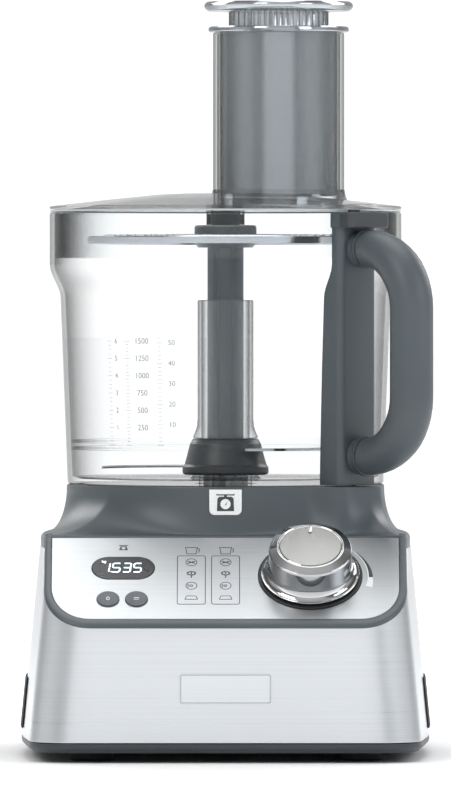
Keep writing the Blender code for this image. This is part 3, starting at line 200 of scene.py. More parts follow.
class Graph:
    """The node tree of one material."""

    def __init__(self, name):
        self.material = bpy.data.materials.new(name)
        self.material.use_nodes = True
        self.tree = self.material.node_tree
        self.tree.nodes.clear()
        self.coordinates = None

    def node(self, kind, settings=None, *values, out=0, **named):
        made = self.tree.nodes.new(kind)
        for key, value in (settings or {}).items():
            setattr(made, key, value)
        pairs = [*enumerate(values), *((key.replace("_", " "), value) for key, value in named.items())]
        for key, value in pairs:
            if isinstance(value, Socket):
                self.tree.links.new(value.socket, made.inputs[key])
            elif value is not None:
                made.inputs[key].default_value = value
        return Socket(self, made.outputs[out])

    def place(self, scale=(1, 1, 1), turn=(0, 0, 0), shift=(0, 0, 0)):
        if not self.coordinates:
            self.coordinates = self.node("ShaderNodeTexCoord", out=3)
        return self.node("ShaderNodeMapping", {}, self.coordinates, shift, turn, scale)

    def noise(self, vector, scale, detail=3.0, rough=0.55, out=0):
        return self.node(
            "ShaderNodeTexNoise", {}, Vector=vector, Scale=scale, Detail=detail, Roughness=rough, out=out
        )

    def blend(self, share, first, second):
        mix = self.tree.nodes.new("ShaderNodeMix")
        mix.data_type = "RGBA"
        for key, value in ((0, share), (6, first), (7, second)):
            if isinstance(value, Socket):
                self.tree.links.new(value.socket, mix.inputs[key])
            else:
                mix.inputs[key].default_value = (*value, 1) if key and len(value) == 3 else value
        return Socket(self, mix.outputs[2])

    def bump(self, height, strength, distance):
        return self.node("ShaderNodeBump", {}, Strength=strength, Distance=distance, Height=height)

    def separate(self, vector):
        split = self.tree.nodes.new("ShaderNodeSeparateXYZ")
        self.tree.links.new(vector.socket, split.inputs[0])
        return [Socket(self, out) for out in split.outputs]

    def principled(self, **named):
        return self.node("ShaderNodeBsdfPrincipled", {}, **named)

    def finish(self, shader):
        out = self.tree.nodes.new("ShaderNodeOutputMaterial")
        self.tree.links.new(shader.socket, out.inputs["Surface"])
        return self.material


def shade(color, factor):
    return tuple(min(1, c * factor) for c in color)


def moulded(name, color, roughness=0.42, grain=0.35, coat=0.0):
    """Fine spark-eroded texture, with slow drifts of tone and gloss."""
    g = Graph(name)
    spot = g.place()
    fine = g.noise(spot, 1500.0, 2.0)
    drift = g.noise(spot, 9.0, 3.0)
    tone = g.blend(drift.smoothstep(0.3, 0.7), shade(color, 0.93), shade(color, 1.07))
    rough = roughness + (fine - 0.5) * 0.10 + (drift - 0.5) * 0.06
    normal = g.bump(fine, grain, 0.00006)
    return g.finish(g.principled(Base_Color=tone, Roughness=rough, Normal=normal, Coat_Weight=coat))


def brushed(name, color, roughness=0.30, along=(3, 3, 1500), contrast=0.05):
    """Steel with long fine scratches, drawn out along one direction."""
    g = Graph(name)
    fine = g.noise(g.place(scale=along), 1.0, 5.0, 0.75)
    broad = g.noise(g.place(scale=[a * 0.12 if a > 100 else a * 0.6 for a in along]), 1.0, 3.0)
    smear = g.noise(g.place(), 11.0, 3.0)
    streak = fine * 0.75 + broad * 0.25
    tone = g.blend(streak.smoothstep(0.25, 0.75), shade(color, 1 - contrast), shade(color, 1 + contrast))
    rough = roughness + (fine - 0.5) * 0.16 + (smear - 0.5) * 0.06
    normal = g.bump(streak, 0.10, 0.00005)
    return g.finish(g.principled(Base_Color=tone, Metallic=1.0, Roughness=rough, Normal=normal))


def polished(name, color, roughness=0.13):
    """Plated or polished metal with faint turning lines and fingerprints."""
    g = Graph(name)
    smear = g.noise(g.place(), 30.0, 4.0)
    scratch = g.noise(g.place(scale=(60, 60, 2600)), 1.0, 2.0)
    tone = g.blend(smear.smoothstep(0.35, 0.7), shade(color, 0.95), shade(color, 1.04))
    rough = roughness + (smear - 0.5) * 0.10 + (scratch - 0.5) * 0.05
    normal = g.bump(scratch, 0.08, 0.00003)
    return g.finish(g.principled(Base_Color=tone, Metallic=1.0, Roughness=rough, Normal=normal))


def clear(name, tint, body=0.0, edge=0.95, dark=0.04, roughness=0.05, through=0.995, power=3.4):
    """Clear moulding: see-through face on, and glossier at its edges, where its colour is painted darker as
    painted shade.
    """
    g = Graph(name)
    weight = g.tree.nodes.new("ShaderNodeLayerWeight")
    weight.inputs[0].default_value = 0.5
    facing = Socket(g, weight.outputs["Facing"])
    flow = g.noise(g.place(), 22.0, 2.0)
    haze = g.noise(g.place(), 400.0, 2.0)
    share = body + (facing**power) * (edge - body) + flow * 0.012
    # Painted shade: the shell's colour darkens by the dark factor where the wall is seen edge on.
    tone = g.blend(facing.smoothstep(0.12, 0.55), tint, shade(tint, dark))
    normal = g.bump(flow, 0.10, 0.0004)
    rough = roughness + (haze - 0.5) * 0.03
    shell = g.principled(Base_Color=tone, Roughness=rough, Normal=normal, Specular_IOR_Level=0.12)
    clear_through = tuple(through * (c / max(tint)) ** 0.12 for c in tint)
    window = g.node("ShaderNodeBsdfTransparent", {}, (*clear_through, 1))
    return g.finish(g.node("ShaderNodeMixShader", {}, share, window, shell))


def smoked(name, color, centre):
    """Tinted glossy moulding, darker at its edges as painted shade, whose normals a bump bends as if its
    broad faces bowed outwards, so that they catch upright reflections.
    """
    g = Graph(name)
    x, _, _ = g.separate(g.place())
    weight = g.tree.nodes.new("ShaderNodeLayerWeight")
    weight.inputs[0].default_value = 0.5
    facing = Socket(g, weight.outputs["Facing"])
    haze = g.noise(g.place(), 400.0, 2.0)
    bow = (x - centre) * (x - centre) * -10.0
    # Painted shade: the colour darkens to 0.12 of itself where the face is seen edge on.
    tone = g.blend(facing.smoothstep(0.25, 0.9), color, shade(color, 0.12))
    rough = 0.13 + (haze - 0.5) * 0.04
    shell = g.principled(Base_Color=tone, Metallic=0.8, Roughness=rough, Normal=g.bump(bow, 1.0, 1.0))
    window = g.node("ShaderNodeBsdfTransparent", {}, (0.72, 0.74, 0.75, 1))
    share = facing * facing * 0.4 + 0.6
    return g.finish(g.node("ShaderNodeMixShader", {}, share, window, shell))


def rubbery(name, color):
    g = Graph(name)
    grain = g.noise(g.place(), 700.0, 3.0)
    dust = g.noise(g.place(), 60.0, 4.0)
    tone = g.blend(dust.smoothstep(0.5, 0.8), color, shade(color, 1.6))
    rough = 0.72 + (grain - 0.5) * 0.2
    return g.finish(g.principled(Base_Color=tone, Roughness=rough, Normal=g.bump(grain, 0.4, 0.0001)))


def printed(name, color, roughness=0.45):
    """Screen-printed ink, a little uneven."""
    g = Graph(name)
    grain = g.noise(g.place(), 900.0, 2.0)
    tone = g.blend(grain.smoothstep(0.2, 0.9), shade(color, 0.92), shade(color, 1.05))
    return g.finish(g.principled(Base_Color=tone, Roughness=roughness + (grain - 0.5) * 0.1))


def lit(name, color, strength):
    g = Graph(name)
    glow = g.noise(g.place(), 500.0, 1.0)
    tone = g.blend(glow.smoothstep(0.3, 0.8), shade(color, 0.9), color)
    face = (0.6, 0.65, 0.7, 1)
    glowing = {"Emission_Color": tone, "Emission_Strength": strength}
    return g.finish(g.principled(Base_Color=face, Roughness=0.4, **glowing))


def laminated(name, color):
    """A stack of thin motor laminations, seen at its edges."""
    g = Graph(name)
    height = g.separate(g.place())[2] * 9000.0
    sheets = height._math("SINE", height)
    rust = g.noise(g.place(), 45.0, 5.0)
    tone = g.blend(rust.smoothstep(0.45, 0.75), color, (0.22, 0.15, 0.10))
    rough = 0.42 + sheets * 0.12
    return g.finish(
        g.principled(Base_Color=tone, Metallic=0.9, Roughness=rough, Normal=g.bump(sheets, 0.5, 0.0001))
    )


def board(name, color):
    """A green circuit board with a faint pattern of tracks."""
    g = Graph(name)
    spot = g.place(scale=(260, 260, 260))
    settings = {"distance": "MANHATTAN", "feature": "F1"}
    tracks = g.node("ShaderNodeTexVoronoi", settings, Vector=spot, Scale=1.0)
    line = (tracks - 0.45).absolute().smoothstep(0.0, 0.06)
    tone = g.blend(line, shade(color, 2.2), color)
    return g.finish(
        g.principled(Base_Color=tone, Roughness=0.35 + line * 0.1, Normal=g.bump(line, 0.2, 0.0001))
    )


MATERIALS = {}


def make_materials(finish):
    grey, steel = tuple(finish.grey), tuple(finish.steel)
    smoke, tint = tuple(finish.smoke), tuple(finish.clear)
    centre = (low("pusher_outer").x + high("pusher_outer").x) / 2
    MATERIALS.update(
        grey=moulded("moulded grey", grey, 0.40),
        handle=moulded("handle grey", shade(grey, 0.95), 0.46, 0.5),
        dark=moulded("dark grey moulding", (0.035, 0.041, 0.046), 0.42),
        black=moulded("black moulding", (0.012, 0.013, 0.015), 0.45),
        steel=brushed("brushed steel wrap", steel),
        # Painted shade: the panel's colour is the wrap's steel darkened to 0.6.
        panel=brushed("brushed steel panel with painted shade", shade(steel, 0.60), 0.36, (3, 1500, 1500), 0.07),
        plate=brushed("name plate steel", shade(steel, 0.97), 0.26, (3, 3, 1900)),
        blade=polished("ground blade steel", (0.40, 0.42, 0.44), 0.14),
        chrome=polished("satin chrome", (0.52, 0.525, 0.53), 0.08),
        gears=polished("hardened gear steel", (0.42, 0.42, 0.43), 0.28),
        # The clear mouldings' colours turn dark at their edges as painted shade, by their dark values.
        clear=clear("clear copolyester", tint),
        lid=clear("clear lid", tint, body=0.01, dark=0.05, power=2.3),
        sleeve=clear("clear sleeve", tint, body=0.03, dark=0.06, power=1.8),
        smoke=smoked("smoke pusher", smoke, centre),
        rubber=rubbery("black rubber", (0.02, 0.02, 0.022)),
        silicone=rubbery("grey silicone", (0.42, 0.45, 0.47)),
        ink=printed("dark ink", (0.035, 0.04, 0.045)),
        pale_ink=printed("pale grey ink", (0.22, 0.24, 0.26)),
        white=printed("white badge", (0.80, 0.81, 0.81), 0.3),
        white_ink=printed("white ink", (0.82, 0.84, 0.85), 0.4),
        button=moulded("button grey", (0.085, 0.095, 0.105), 0.4),
        dial_face=brushed("dial face", (0.20, 0.20, 0.195), 0.22, (1500, 4, 4)),
        glow=lit("lit segments", (0.85, 0.93, 1.0), 2.2),
        lens=polished_lens(),
        iron=laminated("motor laminations", (0.24, 0.24, 0.25)),
        copper=polished("copper bars", (0.62, 0.30, 0.16), 0.3),
        nylon=moulded("white nylon", (0.68, 0.66, 0.60), 0.38),
        board=board("circuit board", (0.015, 0.12, 0.05)),
    )


def polished_lens():
    g = Graph("display lens")
    smear = g.noise(g.place(), 90.0, 3.0)
    tone = g.blend(smear.smoothstep(0.4, 0.8), (0.006, 0.008, 0.010), (0.012, 0.015, 0.018))
    return g.finish(g.principled(Base_Color=tone, Roughness=0.28 + (smear - 0.5) * 0.06))


# ---- shapes, worked in millimetres ----


def linked(name, data):
    """A new object in the scene, with this data."""
    piece = bpy.data.objects.new(name, data)
    bpy.context.scene.collection.objects.link(piece)
    return piece


def placed(name, bm):
    """A new object from a mesh in metres, which is freed."""
    mesh = bpy.data.meshes.new(name)
    bm.to_mesh(mesh)
    bm.free()
    return linked(name, mesh)


def mesh_piece(name, bm):
    """An object from a mesh in millimetres, with its doubles merged and its faces out."""
    bmesh.ops.remove_doubles(bm, verts=bm.verts, dist=0.0005)
    bmesh.ops.dissolve_degenerate(bm, edges=bm.edges, dist=0.0002)
    bmesh.ops.recalc_face_normals(bm, faces=bm.faces)
    bmesh.ops.scale(bm, vec=(MM, MM, MM), verts=bm.verts)
    return placed(name, bm)


def in_mm(matrix):
    """The same placing for a mesh that is still in millimetres."""
    moved = matrix.copy()
    moved.translation = moved.translation / MM
    return moved


def skin(bm, loops, ring=False):
    """Quads between loops of equally many points; the last joins the first when ring is set."""
    rows = [[bm.verts.new(point) for point in loop] for loop in loops]
    pairs = list(zip(rows, rows[1:]))
    if ring:
        pairs.append((rows[-1], rows[0]))
    count = len(rows[0])
    for first, second in pairs:
        for k in range(count):
            after = (k + 1) % count
            bm.faces.new((first[k], first[after], second[after], second[k]))
    if not ring:
        bm.faces.new(rows[0][::-1])
        bm.faces.new(rows[-1])
    return bm


def lofted(name, loops, place=Matrix(), ring=False):
    bm = skin(bmesh.new(), [[in_mm(place) @ Vector(point) for point in loop] for loop in loops], ring)
    return mesh_piece(name, bm)


def prism(name, outline, heights, place=Matrix()):
    """A flat outline drawn up through the heights."""
    return lofted(name, [[(x, y, z) for x, y in outline] for z in heights], place)


def stood(profile, turn):
    """A (radius, height) profile stood up at an angle round the Z axis."""
    c, s = math.cos(turn), math.sin(turn)
    return [(r * c, r * s, z) for r, z in profile]


def turned(name, profile, place=ON_AXIS, steps=128):
    """A closed (radius, height) profile turned round the place's Z axis."""
    loops = [stood(profile, 2 * math.pi * k / steps) for k in range(steps)]
    return lofted(name, loops, place, ring=True)


def eased(profile, radius, steps=4):
    """A profile with its corners rounded, each by radius or by what its sides allow."""
    points = []
    count = len(profile)
    for k, corner in enumerate(profile):
        corner = Vector(corner)
        before, after = Vector(profile[k - 1]), Vector(profile[(k + 1) % count])
        back, on = before - corner, after - corner
        if min(back.length, on.length) < 1e-6:
            continue
        angle = back.angle(on)
        if angle > math.radians(172) or corner[0] < 0.01:
            points.append(tuple(corner))
            continue
        reach = min(radius / math.tan(angle / 2), back.length * 0.49, on.length * 0.49)
        start, end = corner + back.normalized() * reach, corner + on.normalized() * reach
        for n in range(steps + 1):
            t = n / steps
            points.append(tuple(start * (1 - t) ** 2 + corner * 2 * t * (1 - t) + end * t * t))
    return points


def round_rect(width, height, radius, centre=(0, 0), steps=8):
    points = []
    for turn, (sx, sy) in zip((0, 90, 180, 270), ((1, 1), (-1, 1), (-1, -1), (1, -1))):
        for k in range(steps + 1):
            a = math.radians(turn + 90 * k / steps)
            x = centre[0] + sx * (width / 2 - radius) + radius * math.cos(a)
            points.append((x, centre[1] + sy * (height / 2 - radius) + radius * math.sin(a)))
    return points


def ellipse(half_x, half_y, centre=(0, 0), steps=48):
    turns = [2 * math.pi * k / steps for k in range(steps)]
    return [(centre[0] + half_x * math.cos(t), centre[1] + half_y * math.sin(t)) for t in turns]


def circle(radius, centre=(0, 0), steps=48):
    return ellipse(radius, radius, centre, steps)


def oval(half, centre, z, steps=96, power=2.6, flute=0.0, flutes=0):
    """A rounded oval between an ellipse and a box, with flutes of a depth."""
    points = []
    for k in range(steps):
        turn = 2 * math.pi * k / steps
        c, s = math.cos(turn), math.sin(turn)
        stretch = (abs(c / half[0]) ** power + abs(s / half[1]) ** power) ** (-1 / power)
        stretch -= flute * (1 - abs(math.cos(flutes * turn / 2)))
        points.append((centre[0] + stretch * c, centre[1] + stretch * s, z))
    return points


def flat_curve(name, outlines, low_z, high_z, place, bevel=0.0):
    """A plate from flat outlines, where an outline inside another is a hole, as a mesh."""
    curve = bpy.data.curves.new(name, "CURVE")
    curve.dimensions = "2D"
    curve.fill_mode = "BOTH"
    curve.extrude = (high_z - low_z) / 2 * MM - bevel * MM
    curve.bevel_depth = bevel * MM
    curve.bevel_resolution = 2
    curve.offset = -bevel * MM
    for outline in outlines:
        spline = curve.splines.new("POLY")
        spline.points.add(len(outline) - 1)
        spline.use_cyclic_u = True
        for point, (x, y) in zip(spline.points, outline):
            point.co = (x * MM, y * MM, 0, 1)
    return as_mesh(curve, name, place @ Matrix.Translation((0, 0, (low_z + high_z) / 2 * MM)))


def as_mesh(data, name, place):
    """A curve's or a text's mesh, moved to its place."""
    source = linked(name + "_source", data)
    mesh = bpy.data.meshes.new_from_object(source.evaluated_get(bpy.context.evaluated_depsgraph_get()))
    bpy.data.objects.remove(source)
    mesh.transform(place)
    piece = linked(name, mesh)
    weld(piece)
    return piece


def weld(piece, within=0.00001):
    bm = bmesh.new()
    bm.from_mesh(piece.data)
    bmesh.ops.remove_doubles(bm, verts=bm.verts, dist=within)
    bmesh.ops.recalc_face_normals(bm, faces=bm.faces)
    bm.to_mesh(piece.data)
    bm.free()


def letterings(name, texts):
    """Printed characters as one piece, from (text, capital height, lift, place) rows, in millimetres."""
    made = []
    for text, height, lift, place in texts:
        data = bpy.data.curves.new(name, "FONT")
        data.body = text
        data.size = height * MM / 0.7
        data.extrude = 0.03 * MM
        data.align_x, data.align_y = "CENTER", "CENTER"
        data.resolution_u = 3
        made.append((linked(name, data), place, lift))
    graph = bpy.context.evaluated_depsgraph_get()
    bm = bmesh.new()
    for source, place, lift in made:
        mesh = bpy.data.meshes.new_from_object(source.evaluated_get(graph))
        for vertex in mesh.vertices:
            vertex.co = place(vertex.co / MM + Vector((0, 0, lift))) * MM
        bm.from_mesh(mesh)
        bpy.data.meshes.remove(mesh)
        bpy.data.objects.remove(source)
    bmesh.ops.remove_doubles(bm, verts=bm.verts, dist=0.000001)
    return placed(name, bm)


def stamped(name, shapes, low, high, place):
    """Thin prints as one piece: each shape is an outline, or an outline with a hole of as many points."""
    bm = bmesh.new()
    for outer, inner in shapes:
        rows = [[place(Vector((x, y, z))) for x, y in outer] for z in (low, high)]
        if inner:
            rows += [[place(Vector((x, y, z))) for x, y in inner] for z in (high, low)]
            skin(bm, rows, ring=True)
        else:
            skin(bm, rows)
    return mesh_piece(name, bm)


def on_plane(matrix):
    """Places a print flat on a plane."""
    matrix = in_mm(matrix)
    return lambda point: matrix @ point


def on_panel(x, y):
    """A place on the control panel, in millimetres from its middle."""
    return PANEL @ Matrix.Translation((x * MM, y * MM, 0))


def round_axis(degrees, radius_at, z_mid):
    """Places a print, drawn across X and Y, round the drive axis."""

    def place(point):
        z = z_mid + point.y
        reach = radius_at(z) + point.z
        turn = math.radians(degrees) + point.x / radius_at(z)
        return AXIS / MM + Vector((reach * math.cos(turn), reach * math.sin(turn), z))

    return place


def swept(name, points, radii, sides, place):
    """A closed tube along points in millimetres, its radius given at each."""
    points = [Vector(point) for point in points]
    tangent = (points[1] - points[0]).normalized()
    side = tangent.orthogonal().normalized()
    loops = []
    for k, point in enumerate(points):
        before, after = points[max(0, k - 1)], points[min(len(points) - 1, k + 1)]
        tangent = (after - before).normalized()
        side = (side - tangent * side.dot(tangent)).normalized()
        other = tangent.cross(side)
        loop = []
        for n in range(sides):
            a = 2 * math.pi * n / sides
            loop.append(point + (side * math.cos(a) + other * math.sin(a)) * radii[k])
        loops.append(loop)
    return lofted(name, loops, place)


def joined(name, pieces):
    """One piece of several meshes that belong to the same body and finish."""
    bm = bmesh.new()
    for piece in pieces:
        bm.from_mesh(piece.data)
        bpy.data.objects.remove(piece)
    return placed(name, bm)


def applied(piece):
    """The piece with its modifiers made into plain mesh."""
    mesh = bpy.data.meshes.new_from_object(piece.evaluated_get(bpy.context.evaluated_depsgraph_get()))
    piece.modifiers.clear()
    piece.data = mesh
    return piece


def bevelled(piece, width, segments=2, angle=35):
    bevel = piece.modifiers.new("edges", "BEVEL")
    bevel.width, bevel.segments = width * MM, segments
    bevel.limit_method, bevel.angle_limit = "ANGLE", math.radians(angle)
    bevel.harden_normals = True
    return applied(piece)


def cut(piece, tool):
    """Takes the tool's shape out of the piece."""
    change = piece.modifiers.new("cut", "BOOLEAN")
    change.operation, change.object, change.solver = "DIFFERENCE", tool, "EXACT"
    applied(piece)
    bpy.data.objects.remove(tool)
    return piece


def refined(name, node, width=0.5, segments=2):
    """A copy of a CAD node with merged corners and rounded edges."""
    bm = bmesh.new()
    bm.from_mesh(NODES[node].data)
    bmesh.ops.remove_doubles(bm, verts=bm.verts, dist=0.00001)
    bmesh.ops.dissolve_limit(bm, angle_limit=math.radians(1), verts=bm.verts, edges=bm.edges)
    return bevelled(placed(name, bm), width, segments)


def finished(piece, body, look, nodes=(), smooth=38):
    """Gives a piece its finish and its body, and hides the CAD nodes that it stands for."""
    piece.data.materials.clear()
    piece.data.materials.append(MATERIALS[look])
    for polygon in piece.data.polygons:
        polygon.material_index = 0
    piece.data.shade_smooth()
    piece.data.set_sharp_from_angle(angle=math.radians(smooth))
    even = piece.modifiers.new("normals", "WEIGHTED_NORMAL")
    even.weight, even.keep_sharp = 100, True
    applied(piece)
    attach(piece, body)
    if nodes:
        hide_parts(*nodes)
    return piece


def dressed(node, look):
    """A CAD node that stays, with a procedural finish."""
    for slot in NODES[node].material_slots:
        slot.material = MATERIALS[look]


# ---- repeated shapes, by Geometry Nodes ----


def repeated(name, unit, count, look, radius=0.0, turn=0.0, step=(0, 0, 0), place=Matrix()):
    """Copies of a unit shape on a circle, or in a row when a step is given, as one plain mesh."""
    group = bpy.data.node_groups.new(name, "GeometryNodeTree")
    face = group.interface
    face.new_socket("Geometry", in_out="OUTPUT", socket_type="NodeSocketGeometry")
    face.new_socket("Geometry", in_out="INPUT", socket_type="NodeSocketGeometry")
    inputs = {}
    for title, kind in (("Count", "Int"), ("Radius", "Float"), ("Turn", "Float"), ("Step", "Vector")):
        inputs[title] = face.new_socket(title, in_out="INPUT", socket_type=f"NodeSocket{kind}")
    given = group.nodes.new("NodeGroupInput")

    def add(kind, links=(), **settings):
        made = group.nodes.new(kind)
        for key, value in settings.items():
            setattr(made, key, value)
        for key, source in links:
            if hasattr(source, "links"):
                group.links.new(source, made.inputs[key])
            else:
                made.inputs[key].default_value = source
        return made

    if radius:
        size = [("Vertices", given.outputs["Count"]), ("Radius", given.outputs["Radius"])]
        line = add("GeometryNodeMeshCircle", size)
        turns = add("GeometryNodeInputIndex").outputs[0]
        for operation, value in (
            ("DIVIDE", given.outputs["Count"]), ("MULTIPLY", 2 * math.pi), ("ADD", given.outputs["Turn"])
        ):
            turns = add("ShaderNodeMath", [(0, turns), (1, value)], operation=operation).outputs[0]
        turns = add("ShaderNodeCombineXYZ", [("Z", turns)]).outputs[0]
    else:
        size = [("Count", given.outputs["Count"]), ("Offset", given.outputs["Step"])]
        line = add("GeometryNodeMeshLine", size, mode="OFFSET")
        turns = add("ShaderNodeCombineXYZ", [("Z", given.outputs["Turn"])]).outputs[0]
    spread = add(
        "GeometryNodeInstanceOnPoints",
        [("Points", line.outputs[0]), ("Instance", given.outputs["Geometry"]), ("Rotation", turns)],
    )
    real = add("GeometryNodeRealizeInstances", [("Geometry", spread.outputs[0])])
    coat = add("GeometryNodeSetMaterial", [("Geometry", real.outputs[0])])
    coat.inputs["Material"].default_value = MATERIALS[look]
    out = add("NodeGroupOutput", [("Geometry", coat.outputs[0])])
    out.is_active_output = True
    unit.name = name
    spread_out = unit.modifiers.new("copies", "NODES")
    spread_out.node_group = group
    values = {"Count": count, "Radius": radius * MM, "Turn": turn, "Step": [s * MM for s in step]}
    for title, value in values.items():
        spread_out[inputs[title].identifier] = value
    applied(unit)
    unit.data.transform(place)
    return unit


# ---- the power base's plan, shared by its pieces ----


def rounded(corners, steps):
    """A closed outline through (x, y, radius) corners, each replaced by an arc."""
    points = []
    for k, (x, y, radius) in enumerate(corners):
        corner = Vector((x, y))
        back = (Vector(corners[k - 1][:2]) - corner).normalized()
        on = (Vector(corners[(k + 1) % len(corners)][:2]) - corner).normalized()
        half = back.angle(on) / 2
        centre = corner + (back + on).normalized() * radius / math.sin(half)
        start = corner + back * radius / math.tan(half) - centre
        end = corner + on * radius / math.tan(half) - centre
        sweep = start.angle_signed(end)
        for n in range(steps + 1):
            turn = Matrix.Rotation(-sweep * n / steps, 2)
            points.append(tuple(centre + turn @ start))
    return points


def base_plan(z, inset=0.0, steps=14):
    """The base's outline at a height, which narrows and leans as it rises."""
    body = bpy.context.scene.processor_body
    rise = (z - lo("steel_wrap").z) / SHOULDER_RISE
    half = BASE_HALF + (SHOULDER_HALF - BASE_HALF) * rise - inset
    front = BASE_FRONT + 1.5 * rise + inset
    rear = -BASE_FRONT - 6 * rise - inset
    front_r, rear_r = body.front_corner / MM - inset, body.rear_corner / MM - inset
    return rounded(
        [
            (half - 9, front, front_r),
            (half + 1.6, 0, 900),
            (half - 7, rear, rear_r),
            (7 - half, rear, rear_r),
            (-half - 1.6, 0, 900),
            (9 - half, front, front_r),
        ],
        steps,
    )


BASE_HALF = 118.2
BEZEL_DROP = 1.5
EDGE_POINTS = 180
DECK_Z = 127.0
HOUSING_LOW = hi("steel_wrap").z + 0.15
SHOULDER_HALF = 107.0
SHOULDER_RISE = DECK_Z - lo("steel_wrap").z
BASE_FRONT = lo("steel_wrap").y


def outline_reach(outline, ray):
    """How far a ray from the centre runs to a closed outline."""
    for k in range(len(outline)):
        a, b = outline[k - 1], outline[k]
        side = b - a
        turn = ray.x * side.y - ray.y * side.x
        if abs(turn) < 1e-9:
            continue
        reach = (a.x * side.y - a.y * side.x) / turn
        share = (a.x * ray.y - a.y * ray.x) / turn
        if reach > 0 and -1e-6 <= share <= 1 + 1e-6:
            return reach
    raise ValueError("the outline doesn't close round its centre")


def panel_z(y, drop=0.0):
    """The height of the panel's plane, or of the plane drop below it, at y."""
    at = PANEL_AT / MM
    return at.z + (y - at.y) * PANEL_SLOPE - drop / PANEL_N.z


def clipped_ahead(loop, limit_y, count):
    """The part of a closed outline ahead of limit_y, as evenly spaced points."""
    start = next(k for k in range(len(loop)) if loop[k - 1][1] > limit_y >= loop[k][1])
    path = []
    for k in range(len(loop) + 1):
        a, b = Vector(loop[(start + k - 1) % len(loop)]), Vector(loop[(start + k) % len(loop)])
        if (a.y > limit_y) != (b.y > limit_y):
            path.append(a.lerp(b, (a.y - limit_y) / (a.y - b.y)))
        if b.y > limit_y:
            if path and k:
                break
        else:
            path.append(b)
    lengths = [0.0]
    for a, b in zip(path, path[1:]):
        lengths.append(lengths[-1] + (b - a).length)
    points, piece = [], 0
    for k in range(count):
        want = lengths[-1] * k / (count - 1)
        while piece < len(path) - 2 and lengths[piece + 1] < want:
            piece += 1
        span = lengths[piece + 1] - lengths[piece] or 1
        points.append(path[piece].lerp(path[piece + 1], (want - lengths[piece]) / span))
    return points


PANEL_TOP_Y = hi("control_panel").y
ON_PANEL = in_mm(PANEL).inverted()


def rim_width():
    return bpy.context.scene.processor_body.rim_width / MM


def slope_edge(inset, top_y, steps=14):
    """Where the panel's plane meets the base's outline, from one top corner round the front to the other."""
    count = len(base_plan(100, inset, steps))
    points = []
    for k in range(count):
        z = 100.0
        for _ in range(4):
            x, y = base_plan(z, inset, steps)[k]
            z = panel_z(y)
        points.append(Vector((x, y, z)))
    flat = [(p.x, p.y) for p in points]
    path = clipped_ahead(flat, top_y, EDGE_POINTS)
    return [Vector((p.x, p.y, panel_z(p.y))) for p in path]


class BuildPiece(bpy.types.Operator):
    """Shared ways of the operators below."""

    bl_options = {"REGISTER", "UNDO"}


class PROCESSOR_OT_shell(BuildPiece):
    """Brushed steel wrap, rear cover with its louvres, tray and side grips"""

    bl_idname = "processor.shell"
    bl_label = "Shell"

    def execute(self, context):
        body = context.scene.processor_body
        self.steel()
        finished(refined("tray_skin", "base_tray", 1.2, 3), "base", "dark", ["base_tray"])
        for side in ("left", "right"):
            node = f"side_grip_{side}"
            finished(refined(f"{node}_pad", node, 0.5), "base", "rubber", [node])
        cover = refined("rear_cover_skin", "rear_cover", 0.6)
        finished(cover, "base", "grey", ["rear_cover"])
        self.louvres(body)
        self.gland()
        return {"FINISHED"}

    def steel(self):
        low, high = span("steel_wrap")
        rim = low + 0.4
        loops = []
        count = 220
        rows = [(0.5, low), (0.12, low + 0.14), (0.0, rim)]
        rows += [(0.0, None, t) for t in (0.2, 0.4, 0.6, 0.8)]
        rows += [(0.0, "top", 0.5), (0.12, "top", 0.14), (0.5, "top", 0.0), (1.3, "top", 0.0)]
        rows += [(1.3, "top", 0.5), (1.3, rim), (1.3, low)]
        paths = {}
        for inset in (0.0, 0.12, 0.5, 1.3):
            for z in (low, high):
                paths[inset, z] = clipped_ahead(base_plan(z, inset), hi("steel_wrap").y, count)
        for k in range(count):
            loop = []
            for row in rows:
                inset = row[0]
                lower, upper = paths[inset, low][k], paths[inset, high][k]
                top = min(high, panel_z(upper.y, BEZEL_DROP + 0.2))
                if row[1] == "top":
                    z = top - row[2]
                elif row[1] is None:
                    z = rim + (top - rim) * row[2]
                else:
                    z = row[1]
                spot = lower.lerp(upper, (z - low) / (high - low))
                loop.append((spot.x, spot.y, z))
            loops.append(loop)
        finished(lofted("steel_skin", loops), "base", "steel", ["steel_wrap"], 50)

    def louvres(self, body):
        """Slanted fins behind the rear slots."""
        fin = prism("fin", round_rect(body.vent_pitch / MM * 0.5, 1.6, 0.7, steps=4), (64, 92))
        fin.data.transform(Matrix.Rotation(math.radians(35), 4, "Z"))
        count = body.vent_count
        start = -(count - 1) / 2 * body.vent_pitch
        back = (hi("rear_cover").y - 7.5) * MM
        place = Matrix.Translation((start, back, 0))
        step = (body.vent_pitch / MM, 0, 0)
        fins = repeated("rear_louvres", fin, count, "black", step=step, place=place)
        finished(fins, "base", "black")

    def gland(self):
        low, high = lo("cord_gland"), hi("cord_gland")
        centre = (low + high) / 2
        length = high.y - low.y
        radius = (high.x - low.x) / 2
        profile = [(5.0, 0), (radius, 0), (radius, length)]
        profile += [(radius - 0.8, length), (radius - 1.2, length - 1.2), (5.0, length - 1.2)]
        place = Matrix.Translation(Vector((centre.x, low.y, centre.z)) * MM)
        place = place @ Matrix.Rotation(-math.pi / 2, 4, "X")
        ring = turned("gland_ring", eased(profile, 0.5), place, 48)
        finished(ring, "base", "black", ["cord_gland"])


